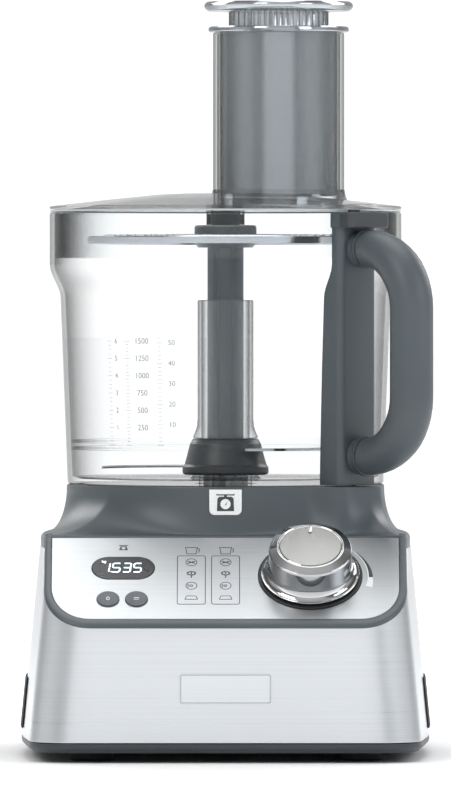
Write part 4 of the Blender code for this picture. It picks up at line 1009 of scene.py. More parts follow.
class PROCESSOR_OT_feet(BuildPiece):
    """Rubber feet with ringed soles, and the screws under the base"""

    bl_idname = "processor.feet"
    bl_label = "Feet and screws"

    def execute(self, context):
        for end in ("front", "rear"):
            for side in ("left", "right"):
                node = f"foot_{end}_{side}"
                centre = (low(node) + high(node)) / 2
                centre.z = 0
                radius = (hi(node).x - lo(node).x) / 2
                profile = [(0, 0.6), (7, 0.6), (7, 0), (9, 0), (9, 0.6), (10.4, 0.6), (10.4, 0)]
                profile += [(radius - 0.8, 0), (radius, 1.2), (radius, 4.4), (radius - 1.2, 5.5)]
                profile += [(3.5, 5.5), (3.5, 11), (0, 11)]
                foot = turned(f"{node}_pad", eased(profile, 0.4, 3), Matrix.Translation(centre), 64)
                finished(foot, "base", "rubber", [node])
        head = turned("screw", eased([(0, 0), (2.6, 0), (2.6, 1.1), (0, 1.1)], 0.5, 3), Matrix(), 24)
        cut(head, prism("slot", round_rect(3.4, 0.8, 0.1, steps=1), (-1, 0.6)))
        place = Matrix.Translation((AXIS.x, 0, low("base_tray").z - 0.2 * MM))
        screws = repeated("tray_screws", head, 6, "gears", radius=92, turn=0.3, place=place)
        finished(screws, "base", "gears")
        return {"FINISHED"}


class PROCESSOR_OT_housing(BuildPiece):
    """Grey upper housing with the panel's rim, shoulders, collar and handle perch"""

    bl_idname = "processor.housing"
    bl_label = "Upper housing"

    def execute(self, context):
        housing = joined("upper_housing_skin", [self.collar(), self.bezel()])
        finished(housing, "base", "grey", ["upper_housing"], 42)
        finished(refined("seat_skin", "bowl_seat", 0.4), "base", "grey", ["bowl_seat"])
        self.badge()
        self.pictogram()
        plate = refined("name_plate_skin", "name_plate", 0.25)
        finished(plate, "base", "steel", ["name_plate"])
        self.plate_rule()
        return {"FINISHED"}

    def collar(self):
        """The collar, its perch under the handle, and the shoulders that it flares into."""
        top, deck = hi("upper_housing").z, DECK_Z
        outline = [Vector(point) - Vector((0, AXIS_Y)) for point in base_plan(124, 0)]
        front = AXIS_Y - PANEL_TOP_Y + 0.9
        loops = []
        for k in range(360):
            turn = math.radians(k)
            ray = Vector((math.cos(turn), math.sin(turn)))
            edge = outline_reach(outline, ray)
            if ray.y < 0:
                edge = min(edge, front / -ray.y)
            away = abs((k - 315 + 180) % 360 - 180)
            perch = 21.0 / (1 + (away / 12.5) ** 6)
            collar = min(92.0 + perch, edge - 1.5)
            rows = [(86.6, HOUSING_LOW), (86.6, top - 0.6), (87.2, top)]
            rows += [(collar - 1.0, top), (collar - 0.3, top - 0.25), (collar, top - 1.0)]
            flare = max(edge - 2.6, collar) - collar
            for n in range(1, 19):
                bend = math.radians(90) * n / 18
                out, drop = 1 - math.cos(bend), math.sin(bend)
                rows.append((collar + flare * out, top - 1.0 - (top - 1.0 - deck) * drop))
            rows += [(edge - 1.2, deck - 0.35), (edge - 0.35, deck - 1.2)]
            rows += [(edge, deck - 2.6), (edge, HOUSING_LOW)]
            loops.append(stood(rows, turn))
        return lofted("collar", loops, ON_AXIS, ring=True)

    def bezel(self):
        """The rim round the sloping panel, flush with the steel outside."""
        rim = rim_width()
        tops = {inset: slope_edge(inset, PANEL_TOP_Y + 2.0) for inset in (0.0, 0.45, 1.6, rim - 0.5, rim)}
        loops = []
        for k in range(EDGE_POINTS):
            outer, inner = tops[0.0][k], tops[rim][k]
            low = outer.z - BEZEL_DROP / PANEL_N.z
            foot = Vector((inner.x, inner.y, min(low, inner.z - 2.0)))
            loops.append(
                [
                    Vector((outer.x, outer.y, low)),
                    outer - UP * 0.9,
                    tops[0.45][k] - UP * 0.15,
                    tops[1.6][k] + UP * 0.35,
                    tops[rim - 0.5][k] + UP * 0.45,
                    inner + UP * 0.1,
                    foot,
                ]
            )
        return lofted("bezel", loops)

    def badge(self):
        """The badge's plate, curved as the collar is, with its lower corners rounded."""
        low, high = span("scale_badge")
        place = round_axis(-90, lambda height: COLLAR_REACH, 0)
        loops = []
        for k in range(25):
            x = 9.25 * math.sin(math.radians(-90 + 7.5 * k))
            over = max(0.0, abs(x) - 6.25)
            edge = low + 3 - math.sqrt(max(0.0, 9 - over**2))
            section = [(edge, -0.95), (edge, -0.2), (edge + 0.2, -0.02)]
            section += [(high - 0.2, -0.02), (high, -0.2), (high, -0.95)]
            loops.append([place(Vector((x, z, lift))) for z, lift in section])
        plate = lofted("scale_badge_plate", loops)
        finished(plate, "base", "white", ["scale_badge"])

    def pictogram(self):
        """A weighing scale, printed on the badge."""
        z = sum(span("scale_badge")) / 2
        pan = [(-5.4, 5.0), (-5.0, 3.9), (5.0, 3.9), (5.4, 5.0), (4.6, 4.6), (-4.6, 4.6)]
        stem = [(-0.8, 4.2), (-0.8, 2.8), (0.8, 2.8), (0.8, 4.2)]
        case = [(-3.4, 3.2), (-4.6, 2.2), (-4.9, -5.0), (4.9, -5.0), (4.6, 2.2), (3.4, 3.2)]
        spot = round_axis(-90, lambda height: COLLAR_REACH, z)
        mark = stamped("badge_pictogram", [(pan, None), (stem, None), (case, None)], 0.14, 0.18, spot)
        finished(mark, "base", "ink")
        window = stamped("badge_window", [(circle(2.9, (0, -1.0), 32), None)], 0.2, 0.24, spot)
        finished(window, "base", "white")
        needle = stamped("badge_needle", [([(-0.4, -1.7), (0.4, -1.5), (1.3, 0.9)], None)], 0.26, 0.3, spot)
        finished(needle, "base", "ink")

    def plate_rule(self):
        low, high = lo("name_plate"), hi("name_plate")
        size = (high.x - low.x - 0.9, high.z - low.z - 0.9)
        at = Vector((0, low.y, (low.z + high.z) / 2)) * MM
        place = Matrix.Translation(at) @ Matrix.Rotation(math.radians(90), 4, "X")
        outer, inner = round_rect(*size, 1.0), round_rect(size[0] - 0.7, size[1] - 0.7, 0.7)
        rule = stamped("name_plate_rule", [(outer, inner)], 0.0, 0.03, on_plane(place))
        finished(rule, "base", "pale_ink")


COLLAR_REACH = AXIS_Y - lo("scale_badge").y


class PROCESSOR_OT_controls(BuildPiece):
    """Sloping steel panel with its display, buttons, dial and printed marks"""

    bl_idname = "processor.controls"
    bl_label = "Controls"

    def execute(self, context):
        edge = slope_edge(rim_width() + 0.25, PANEL_TOP_Y)
        outlines = [[tuple((ON_PANEL @ point).to_2d()) for point in edge]]
        outlines.append(round_rect(36.2, 20.4, 10.19, DISPLAY_AT, 16))
        outlines += [circle(6.6, (x, BUTTON_Y)) for x in BUTTON_X]
        outlines.append(circle(4.2, tuple(DIAL_AT.to_2d() / MM), 32))
        panel = flat_curve("control_panel_skin", outlines, -1.4, 0.0, PANEL)
        finished(panel, "base", "panel", ["control_panel"], 20)
        self.display()
        self.buttons()
        self.dial()
        self.marks()
        return {"FINISHED"}

    def display(self):
        outline = round_rect(35.4, 20, 9.99, DISPLAY_AT, 16)
        lens = flat_curve("display_lens", [outline], -1.7, 0.35, PANEL, 0.3)
        finished(lens, "base", "lens", ["display_window"])
        digits = []
        spots = (-9.3, -3.3, 2.7, 8.7)
        for spot, lit_bars in zip(spots, ("BC", "AFGCD", "ABGCD", "AFGCD")):
            digits += seven_bars(DISPLAY_AT[0] + spot - 0.6, DISPLAY_AT[1], 4.2, 7.6, lit_bars)
        digits.append((circle(0.45, (DISPLAY_AT[0] - 6.7, DISPLAY_AT[1] - 3.6), 12), None))
        shown = stamped("display_digits", digits, 0.37, 0.43, on_plane(PANEL))
        finished(shown, "base", "glow")
        spot = on_plane(on_panel(DISPLAY_AT[0] - 11.0, DISPLAY_AT[1] + 5.4))
        unit = letterings("display_unit", [("kg", 2.0, 0.4, spot)])
        finished(unit, "base", "glow")

    def buttons(self):
        profile = [(0, 0.75), (3.2, 0.8), (5.4, 1.0), (6.4, 0.9), (6.4, -4), (0, -4)]
        zero = [(ellipse(1.0, 1.5, steps=32), ellipse(0.62, 1.1, steps=32))]
        bars = [bar_between((-1.5, y), (1.5, y), 0.4) for y in (0.7, -0.7)]
        names = ("button_zero", "button_units")
        for name, x in zip(names, BUTTON_X):
            cap = turned(f"{name}_cap", eased(profile, 0.35, 3), on_panel(x, BUTTON_Y), 64)
            finished(cap, name, "button", [name])
        for name, x, mark in zip(names, BUTTON_X, (zero, bars)):
            print_on = stamped(f"{name}_mark", mark, 0.78, 0.86, on_plane(on_panel(x, BUTTON_Y)))
            finished(print_on, name, "white_ink")

    def dial(self):
        profile = [(0, -8), (3.2, -8), (3.2, 1.8), (27.6, 1.8)]
        for t in [math.radians(9 * k) for k in range(11)]:
            profile.append((28 - 4.4 * math.sin(t), 2.8 + 6 * (1 - math.cos(t))))
        profile += [(23.6, 18.6), (23.2, 19.8), (19.2, 21.7), (18.6, 21.9)]
        profile += [(18.2, 21.4), (17.8, 21.4), (17.2, 21.8), (0, 21.8)]
        knob = turned("dial_knob", eased(profile, 0.5, 3), DIAL, 160)
        finished(knob, "speed_dial", "chrome", ["speed_dial"], 50)
        profile = [(0, 21.6), (17.3, 21.6), (17.3, 22), (0, 22)]
        face = turned("dial_face", eased(profile, 0.3, 3), DIAL, 96)
        finished(face, "speed_dial", "dial_face")
        mark = flat_curve("dial_pointer", [round_rect(2.4, 6, 1.19, (0, 14.6))], 21.9, 22.85, DIAL, 0.4)
        finished(mark, "speed_dial", "chrome")
        # A black washer under the knob; where it shows round the knob's skirt, its black also stands in for
        # the shade in the gap there, as painted shade.
        profile = [(3.6, 0.3), (29.7, 0.3), (29.7, 0.7), (29.4, 0.9), (3.6, 0.9)]
        ring = turned("dial_ring", eased(profile, 0.2, 3), DIAL, 128)
        finished(ring, "base", "black", ["dial_surround"])

    def marks(self):
        """The speed wedge, the two columns of settings and the scale's sign."""
        for name, look, start, end, narrow, wide, lift in (
            ("speed_wedge", "white_ink", 44, -16, 32.6, 36.4, 0.02),
            ("speed_wedge_core", "ink", 40, -2, 33.2, 35.6, 0.06),
        ):
            loops = []
            for k in range(41):
                reach = narrow + 0.3 + (wide - narrow - 0.3) * k / 40
                section = [(reach, lift), (reach, lift + 0.04), (narrow, lift + 0.04), (narrow, lift)]
                loops.append(stood(section, math.radians(start + (end - start) * k / 40)))
            finished(lofted(name, loops, DIAL), "base", look)
        strokes = []
        for x in (-19.35, 0.05):
            middle = (x, -0.5)
            strokes.append((round_rect(16.3, 43.3, 1.6, middle), round_rect(15.4, 42.4, 1.2, middle)))
            for row in range(4):
                strokes += setting_sign(x, 15.2 - 10.4 * row, row)
            strokes += jug_sign(x, 25.6)
        x, y = DISPLAY_AT[0], 28.3
        for top, top_y, foot, foot_y in ((2.8, 2.2, 2.3, 1.5), (1.6, 1.1, 2.6, -2.3)):
            corners = ((-top, top_y), (-foot, foot_y), (foot, foot_y), (top, top_y))
            strokes.append(([(x + a, y + b) for a, b in corners], None))
        print_on = stamped("panel_print", strokes, 0.02, 0.07, on_plane(PANEL))
        finished(print_on, "base", "ink")
        dial = [(circle(1.1, (x, y - 0.6), 20), None)]
        print_on = stamped("panel_print_dial", dial, 0.05, 0.1, on_plane(PANEL))
        finished(print_on, "base", "panel")


DISPLAY_AT = (-58.0, 10.0)
BUTTON_X = (-66.4, -50.3)
BUTTON_Y = -17.7


def bar_between(start, end, width):
    """A printed stroke from start to end."""
    start, end = Vector(start), Vector(end)
    side = (end - start).normalized().orthogonal() * width / 2
    return [tuple(p) for p in (start + side, start - side, end - side, end + side)], None


def ringed(centre, radius, width):
    return circle(radius, centre, 28), circle(radius - width, centre, 28)


def setting_sign(x, y, row):
    """A small sign for one way of working: blades, whisk, disc or dough."""
    line = 0.42
    if row == 0:
        return [
            ringed((x, y), 3.3, line),
            bar_between((x - 2.2, y - 1.0), (x + 2.2, y + 1.0), line * 1.6),
            bar_between((x - 2.2, y + 1.0), (x + 2.2, y - 1.0), line * 1.6),
        ]
    if row == 1:
        return [ringed((x - 1.2 + 1.2 * k, y + 0.6), 2.0 - 0.5 * abs(k - 1), line) for k in range(3)] + [
            bar_between((x, y - 3.4), (x, y - 1.0), line * 1.4)
        ]
    if row == 2:
        return [ringed((x, y), 3.3, line), ringed((x, y), 1.0, line)] + [
            bar_between((x - 2.4, y + d), (x - 1.2, y + d), line) for d in (-1.0, 0.0, 1.0)
        ]
    return [
        bar_between((x - 3.6, y - 1.6), (x + 3.6, y - 1.6), line),
        bar_between((x - 3.6, y - 1.6), (x - 2.6, y + 1.4), line),
        bar_between((x + 3.6, y - 1.6), (x + 2.6, y + 1.4), line),
        bar_between((x - 2.6, y + 1.4), (x + 2.6, y + 1.4), line),
    ]


def jug_sign(x, y):
    outline = [(-3.6, 3.0), (3.6, 3.0), (2.8, -3.2), (-2.8, -3.2)]
    inner = [(-3.1, 2.5), (3.1, 2.5), (2.4, -2.7), (-2.4, -2.7)]
    shift = [[(x + a, y + b) for a, b in points] for points in (outline, inner)]
    upper = bar_between((x + 3.4, y + 1.8), (x + 4.6, y + 1.4), 0.5)
    lower = bar_between((x + 4.6, y + 1.6), (x + 4.2, y - 1.6), 0.5)
    return [tuple(shift), upper, lower]


def seven_bars(x, y, width, height, names):
    """Lit bars of one digit, centred on x and y."""
    w, h = width / 2, height / 2
    ends = {
        "A": ((-w, h), (w, h)), "G": ((-w, 0), (w, 0)), "D": ((-w, -h), (w, -h)),
        "F": ((-w, h), (-w, 0)), "B": ((w, h), (w, 0)), "E": ((-w, 0), (-w, -h)), "C": ((w, 0), (w, -h)),
    }
    bars = []
    for name in names:
        start, end = Vector(ends[name][0]), Vector(ends[name][1])
        along = (end - start).normalized() * 0.35
        slant = Vector((0.12, 0))
        a = Vector((x, y)) + start + along + slant * start.y
        b = Vector((x, y)) + end - along + slant * end.y
        bars.append(bar_between(a, b, 0.75))
    return bars


# ---- bowl, lid and what turns inside ----


def bowl_radius(z):
    """The outer radius of the bowl's wall, which steps out under the rim."""
    foot, mid, rim = 91.6, 95.7, hi("bowl").x
    step_high = hi("bowl").z - 30
    step_low = step_high - 20
    if z >= step_high:
        return rim
    if z <= step_low:
        return foot + (mid - foot) * (z - BOWL_FOOT) / (step_low - BOWL_FOOT)
    share = (z - step_low) / 20
    return mid + (rim - mid) * (1 - math.cos(math.pi * share)) / 2


BOWL_FOOT = hi("upper_housing").z + 0.3
BOWL_TOP = hi("bowl").z


class PROCESSOR_OT_bowl(BuildPiece):
    """Clear bowl with its moulded ledges, volume scale and handle"""

    bl_idname = "processor.bowl"
    bl_label = "Bowl and handle"

    def execute(self, context):
        heights = [BOWL_TOP - 50 + 20 * k / 16 for k in range(17)]
        rise = [BOWL_FOOT + 1.5 + (heights[0] - BOWL_FOOT) * k / 6 for k in range(6)]
        outer = [(bowl_radius(z), z) for z in rise + heights]
        outer += [(102.0, BOWL_TOP - 6), (102.0, BOWL_TOP - 0.8), (101.4, BOWL_TOP)]
        inner = [(r - 2.8, z) for r, z in outer]
        inner[-1] = (99.8, BOWL_TOP)
        inner[0] = (inner[0][0] - 3.5, BOWL_FOOT + 3)
        inner.insert(1, (inner[1][0] - 0.8, BOWL_FOOT + 4.2))
        floor = BOWL_FOOT + 3
        tube = floor + 14
        profile = [
            *inner[::-1],
            (60, floor), (24, floor), (19.5, floor + 0.8), (18, floor + 2.5),
            (18, tube - 0.7), (17.3, tube), (16.0, tube), (15.5, tube - 0.6),
            (15.5, BOWL_FOOT - 4), (18, BOWL_FOOT - 4), (18, BOWL_FOOT), (60, BOWL_FOOT),
            (82.5, BOWL_FOOT), (82.5, BOWL_FOOT - 9.5), (85.3, BOWL_FOOT - 9.5), (85.3, BOWL_FOOT),
            (90.4, BOWL_FOOT), (91.4, BOWL_FOOT + 0.6),
            *outer,
        ]
        finished(turned("bowl_wall", profile, steps=192), "bowl", "clear", ["bowl"], 35)
        self.ledges()
        self.scale()
        self.handle()
        return {"FINISHED"}

    def ledges(self):
        """The raised ring inside the wall near the floor, and the locking lugs of the skirt."""
        ring = []
        for z, proud in ((BOWL_FOOT + 20.5, 1.3), (BOWL_FOOT + 24.5, 0.9)):
            wall = bowl_radius(z) - 2.7
            profile = [(wall, z + 0.9), (wall - proud, z + 0.3), (wall - proud, z - 0.3), (wall, z - 0.9)]
            ring.append(turned("ledge", eased(profile, 0.3, 3), steps=192))
        finished(joined("bowl_ledges", ring), "bowl", "clear")
        lug = bevelled(prism("lug", round_rect(2.4, 16, 1.0, (85.9, 0), 4), (0, 3)), 0.5)
        place = ON_AXIS @ Matrix.Translation((0, 0, (BOWL_FOOT - 8.8) * MM))
        unit = repeated("bowl_lugs", lug, 4, "clear", radius=0.01, turn=0.4, place=place)
        finished(unit, "bowl", "clear")

    def scale(self):
        """The three printed volume scales."""
        first, pitch, ounces = 178.0, 9.9, 11.7
        texts = []
        for k in range(1, 7):
            texts.append((str(250 * k), 3.3, 0.02, round_axis(-120.5, bowl_radius, first + pitch * k)))
            texts.append((str(k), 3.0, 0.02, round_axis(-131.5, bowl_radius, first + pitch * k)))
        for k in range(1, 6):
            texts.append((str(10 * k), 3.0, 0.02, round_axis(-109.0, bowl_radius, first + ounces * k)))
        finished(letterings("bowl_numbers", texts), "bowl", "pale_ink")
        ticks = []
        columns = ((-126.5, 31, pitch / 5, 5), (-113.5, 27, ounces / 5, 5), (-134.5, 25, pitch / 4, 4))
        for degrees, count, step, long in columns:
            for k in range(count):
                half = 1.9 if k % long == 0 else 1.1
                tick = [(-half, -0.11), (half, -0.11), (half, 0.11), (-half, 0.11)]
                spot = round_axis(degrees, bowl_radius, first + step * k)
                ticks.append(stamped("tick", [(tick, None)], 0.01, 0.05, spot))
        finished(joined("bowl_ticks", ticks), "bowl", "pale_ink")

    def handle(self):
        post = refined("handle_post_skin", "handle_post", 0.8, 3)
        finished(post, "bowl", "handle", ["handle_post"], 42)
        low, high = BOWL_FOOT + 17, BOWL_TOP - 21.5
        bend, reach, root = 34.0, 149.6, 108.3
        centres = []
        for k in range(13):
            turn = math.radians(-90 + 7.5 * k)
            centres.append((reach - bend + bend * math.cos(turn), low + bend + bend * math.sin(turn)))
        middle = [(reach, low + bend + (high - low - 2 * bend) * k / 8) for k in range(1, 8)]
        upper = [(r, low + high - z) for r, z in centres[::-1]]
        path = [(root, low), (root + 3, low)] + centres + middle + upper + [(root + 3, high), (root, high)]
        span = len(path) - 1
        radii = [10.3 + 2.1 * min(1, max(0, min(k, span - k) - 1) / 8) for k in range(span + 1)]
        points = [(r, 0, z) for r, z in path]
        grip = swept("handle_grip_skin", points, radii, 40, HANDLE)
        finished(grip, "bowl", "handle", ["handle_grip"], 60)
        rings = []
        profile = eased([(9.8, 0), (11.3, 0.2), (11.6, 1.2), (11.3, 2.2), (9.8, 2.4)], 0.4, 3)
        for z in (low, high):
            place = HANDLE @ Matrix.Translation(Vector((root + 4.2, 0, z)) * MM)
            rings.append(turned("ferrule", profile, place @ Matrix.Rotation(math.pi / 2, 4, "Y"), 64))
        finished(joined("handle_ferrules", rings), "bowl", "dark")
        plan = round_rect(11.5, 32.6, 3.5, (111.6, 0))
        cover = prism("latch_cover", plan, (BOWL_TOP - 9.6, BOWL_TOP - 0.75), HANDLE)
        finished(bevelled(cover, 0.8, 3), "bowl", "dark")
        rod = refined("interlock_rod_skin", "interlock_rod", 0.3)
        finished(rod, "interlock", "dark", ["interlock_rod"])


class PROCESSOR_OT_knife(BuildPiece):
    """Fluted shaft, knife hub, curved blades, clear sleeve and the grating disc"""

    bl_idname = "processor.knife"
    bl_label = "Knife and disc"

    def execute(self, context):
        self.shaft()
        self.hub()
        self.blade("knife_blade_lower", 78, 170)
        self.blade("knife_blade_upper", 64, -10)
        self.disc()
        return {"FINISHED"}

    def shaft(self):
        low, high = span("drive_shaft")
        flange = hi("knife_hub").z - 7
        profile = [(0, low), (14.6, low), (14.6, flange - 0.5), (14, flange), (0, flange)]
        collar = turned("collar", eased(profile, 0.5, 3), steps=96)
        loops = []
        for z, shrink in ((flange - 1, 0), (high - 9, 0), (high - 8, 0.8)):
            loop = []
            for k in range(192):
                turn = 2 * math.pi * k / 192
                radius = 10.75 - shrink - 1.15 * max(0, math.cos(6 * turn)) ** 3
                loop.append((radius * math.cos(turn), radius * math.sin(turn), z))
            loops.append(loop)
        stem = lofted("stem", loops, ON_AXIS)
        tip = turned("tip", eased([(0, high - 10), (8, high - 10), (8, high), (0, high)], 1.2, 4), steps=64)
        shaft = joined("drive_shaft_fluted", [collar, stem, tip])
        finished(shaft, "knife_drive", "grey", ["drive_shaft"])

    def hub(self):
        low, high = span("knife_hub")
        profile = [(11.05, high), (11.05, high - 6), (19.2, high - 6), (19.2, low), (23.6, low)]
        profile += [(25, low + 1.2), (25, low + 4.5), (23.8, low + 6.0), (22.4, low + 11)]
        profile += [(20.6, high - 3), (19.2, high - 0.6), (18.4, high)]
        hub = turned("knife_hub_skin", eased(profile, 0.6, 3))
        finished(hub, "knife_drive", "dark", ["knife_hub"])
        low, high = span("knife_sleeve")
        profile = [(14.05, low), (18.6, low), (19.0, low + 0.5), (17.9, low + 3), (16.6, low + 6.5)]
        profile += [(16.25, low + 11), (16.25, high - 0.6), (15.7, high), (14.6, high)]
        profile += [(14.05, high - 0.6)]
        sleeve = turned("knife_sleeve_skin", profile, steps=96)
        finished(sleeve, "knife_drive", "sleeve", ["knife_sleeve"])
        low, high = span("disc_hub")
        profile = [(11.05, low), (16, low), (18, low + 3), (18, high - 1), (17, high), (11.05, high)]
        hub = turned("disc_hub_skin", eased(profile, 0.6, 3), steps=96)
        finished(hub, "knife_drive", "grey", ["disc_hub"])

    def blade(self, node, reach, turn):
        """A curved blade, ground thin along its serrated leading edge."""
        z = lo(node).z
        wall = 1.6
        loops = []
        steps = 60
        root = 24.6
        for k in range(steps + 1):
            share = k / steps
            radius = root + (reach - root) * share
            lead = math.radians(35) * share**1.6
            width = 21 * (1 - share**2.2) + 1.5
            saw = 0.35 * (k % 2)
            loop = []
            for across, low_z, high_z in ((0.0, 0.72, 0.8), (0.18, 0.05, wall), (1.0, 0.0, wall - 0.1)):
                back = lead - (width * across + (saw if across == 0 else 0)) / radius
                loop.append((radius, back, low_z, high_z))
            upper = [(r * math.cos(a), r * math.sin(a), z + top) for r, a, _, top in loop]
            lower = [(r * math.cos(a), r * math.sin(a), z + base) for r, a, base, _ in loop[::-1]]
            loops.append(upper + lower)
        place = ON_AXIS @ Matrix.Rotation(math.radians(turn), 4, "Z")
        blade = lofted(f"{node}_ground", loops, place)
        finished(blade, "knife_drive", "blade", [node], 20)

    def disc(self):
        low, high = span("grating_disc")
        profile = [(18.3, high - 1.5), (78.3, high - 1.5), (78.5, low), (79.7, low)]
        profile += [(80, high - 0.6), (79.2, high), (18.3, high)]
        rings = [turned("plate", eased(profile, 0.4, 3), steps=160)]
        for radius in range(27, 75, 7):
            loops = []
            for half_x, half_y, back, z in ((2.0, 1.5, 0, 0), (1.5, 1.1, 0.2, 0.7), (0.5, 0.5, 0.7, 1.1)):
                loops.append([(x, y, z) for x, y in ellipse(half_x, half_y, (-back, 0), 10)])
            unit = lofted("tooth", loops)
            count = int(2 * math.pi * radius / 8)
            place = ON_AXIS @ Matrix.Translation((0, 0, (high - 0.05) * MM))
            rings.append(repeated(f"disc_teeth_{radius}", unit, count, "blade", radius=radius, place=place))
        disc = joined("grating_disc_skin", rings)
        finished(disc, "knife_drive", "blade", ["grating_disc"], 40)


class PROCESSOR_OT_lid(BuildPiece):
    """Clear lid with its feed tube, locking tabs and seal"""

    bl_idname = "processor.lid"
    bl_label = "Lid"

    def execute(self, context):
        rim = BOWL_TOP + 1.6
        crown = rim + 9.7
        profile = [
            (0, crown), (25, crown - 0.3), (40, crown - 1), (72, rim + 5.4), (99, rim + 2.3),
            (101.4, rim + 2.0), (102, rim + 1.4), (102, rim + 0.5), (101.5, rim), (98.6, rim),
            (98.6, rim - 28), (96.4, rim - 28), (96.4, rim - 1.5), (95.6, rim - 0.4),
            (72, rim + 3.0), (40, crown - 3.4), (11.1, crown - 2.9), (11.1, rim - 8.8),
            (8.6, rim - 8.8), (8.6, crown - 2.9), (0, crown - 2.9),
        ]
        lid = turned("lid_shell", profile, steps=192)
        top = hi("lid").z
        way = lofted("way", [oval((35.9, 28.5), FEED_AT, z) for z in (rim - 4, top + 5)])
        cut(lid, way)
        tube = [(0, rim + 0.6), (0, top - 1.0), (-0.4, top - 0.2), (-1.0, top)]
        tube += [(-1.6, top), (-2.2, top - 0.3), (-2.5, top - 1.0), (-2.5, rim + 0.6)]
        foot = [(3.2, rim + 4.6), (2.0, rim + 5.6), (0.9, rim + 8.0)]
        foot += [(0.2, rim + 12), (-0.3, rim + 12), (-0.3, rim + 4.6)]
        pieces = [lid, self.sleeve("feed_tube", tube), self.sleeve("tube_foot", foot)]
        finished(joined("lid_skin", pieces), "lid", "lid", ["lid"], 35)
        self.tabs(rim)
        seal = lo("lid_seal").z
        profile = [(99.5, seal), (101.7, seal), (101.7, seal + 1), (99.5, seal + 1)]
        ring = turned("seal_ring", eased(profile, 0.35, 4), steps=192)
        finished(ring, "lid_seal", "silicone", ["lid_seal"])
        return {"FINISHED"}

    def sleeve(self, name, section):
        """A wall round the feed tube's way, from (growth, height) points."""
        loops = [oval((38.4 + grow, 31 + grow), FEED_AT, z) for grow, z in section]
        return lofted(name, loops, ring=True)

    def tabs(self, rim):
        """The ramped tab that presses the interlock rod."""
        loops = []
        for k in range(13):
            turn = math.radians(5.5 - 11 * k / 12)
            under = rim - 0.1 + 3.9 * 0.25 * max(0.0, k / 12 - 0.5)
            section = [(99.5, under), (108.4, under), (108.9, under + 0.5)]
            section += [(108.9, rim + 2.1), (108.2, rim + 2.6), (99.5, rim + 2.6)]
            loops.append(stood(section, turn))
        tab = lofted("lid_tab", loops, HANDLE)
        finished(tab, "lid", "lid")


FEED_AT = (31.0, AXIS_Y + 38.0)


class PROCESSOR_OT_pushers(BuildPiece):
    """Smoke-grey outer pusher and the fluted inner pusher with its cap"""

    bl_idname = "processor.pushers"
    bl_label = "Pushers"

    def execute(self, context):
        low, high = span("pusher_outer")
        lip = high - 3
        rows = [
            (-1.0, low), (0, low + 1.0), (0, lip - 0.4), (0.3, lip), (6.2, lip), (6.8, lip + 0.6),
            (6.8, high - 0.8), (6.2, high), (-2.8, high), (-3.6, high - 0.8), (-3.6, low + 0.6),
            (-3.2, low),
        ]
        outer = lofted("outer_pusher", [oval((34.2 + g, 26.8 + g), FEED_AT, z) for g, z in rows], ring=True)
        finished(outer, "pusher_outer", "smoke", ["pusher_outer"])
        low, top = span("pusher_inner")
        cap = top - 5.5
        rows = [
            (-1.0, low, 0), (0, low + 1.0, 0), (0, high - 1.0, 0), (-0.4, high + 0.4, 0.8),
            (-0.4, cap - 0.5, 0.8), (1.0, cap, 0), (11.5, cap + 0.2, 0), (13.2, cap + 1.4, 0),
            (13.9, cap + 3.0, 0), (13.6, cap + 4.4, 0), (12.4, top, 0), (9.0, top, 0), (7.5, top - 0.7, 0),
        ]
        loops = []
        for grow, z, flute in rows:
            half = (29.6 + grow, 22.2 + grow)
            loops.append(oval(half, FEED_AT, z, 240, flute=flute, flutes=40))
        inner = lofted("inner_pusher", loops)
        finished(inner, "pusher_inner", "smoke", ["pusher_inner"])
        return {"FINISHED"}


class PROCESSOR_OT_works(BuildPiece):
    """Finishes for the motor, gears and board inside the base"""

    bl_idname = "processor.works"
    bl_label = "Motor and gears"

    def execute(self, context):
        looks = {
            "gears": ("bearing_lower", "bearing_upper", "sun_gear", "ring_gear", "gear_carrier"),
            "copper": ("brush_holder_left", "brush_holder_right", "commutator"),
            "grey": ("motor_mount", "gear_case"),
            "black": ("dial_encoder", "display_module", "interlock_switch"),
            "iron": ("armature", "motor_stator"),
            "nylon": ("cooling_fan", "planet_gear_1", "planet_gear_2", "planet_gear_3"),
            "board": ("control_board",),
            "blade": ("interlock_spring",),
            "plate": tuple(f"load_cell_{a}_{b}" for a in ("front", "rear") for b in ("left", "right")),
        }
        for look, nodes in looks.items():
            for node in nodes:
                dressed(node, look)
        return {"FINISHED"}


# ---- the studio ----


def aim(thing, spot, target):
    """Puts a camera or a lamp at a spot, turned to a target."""
    thing.location = spot
    thing.rotation_euler = (Vector(target) - Vector(spot)).to_track_quat("-Z", "Y").to_euler()


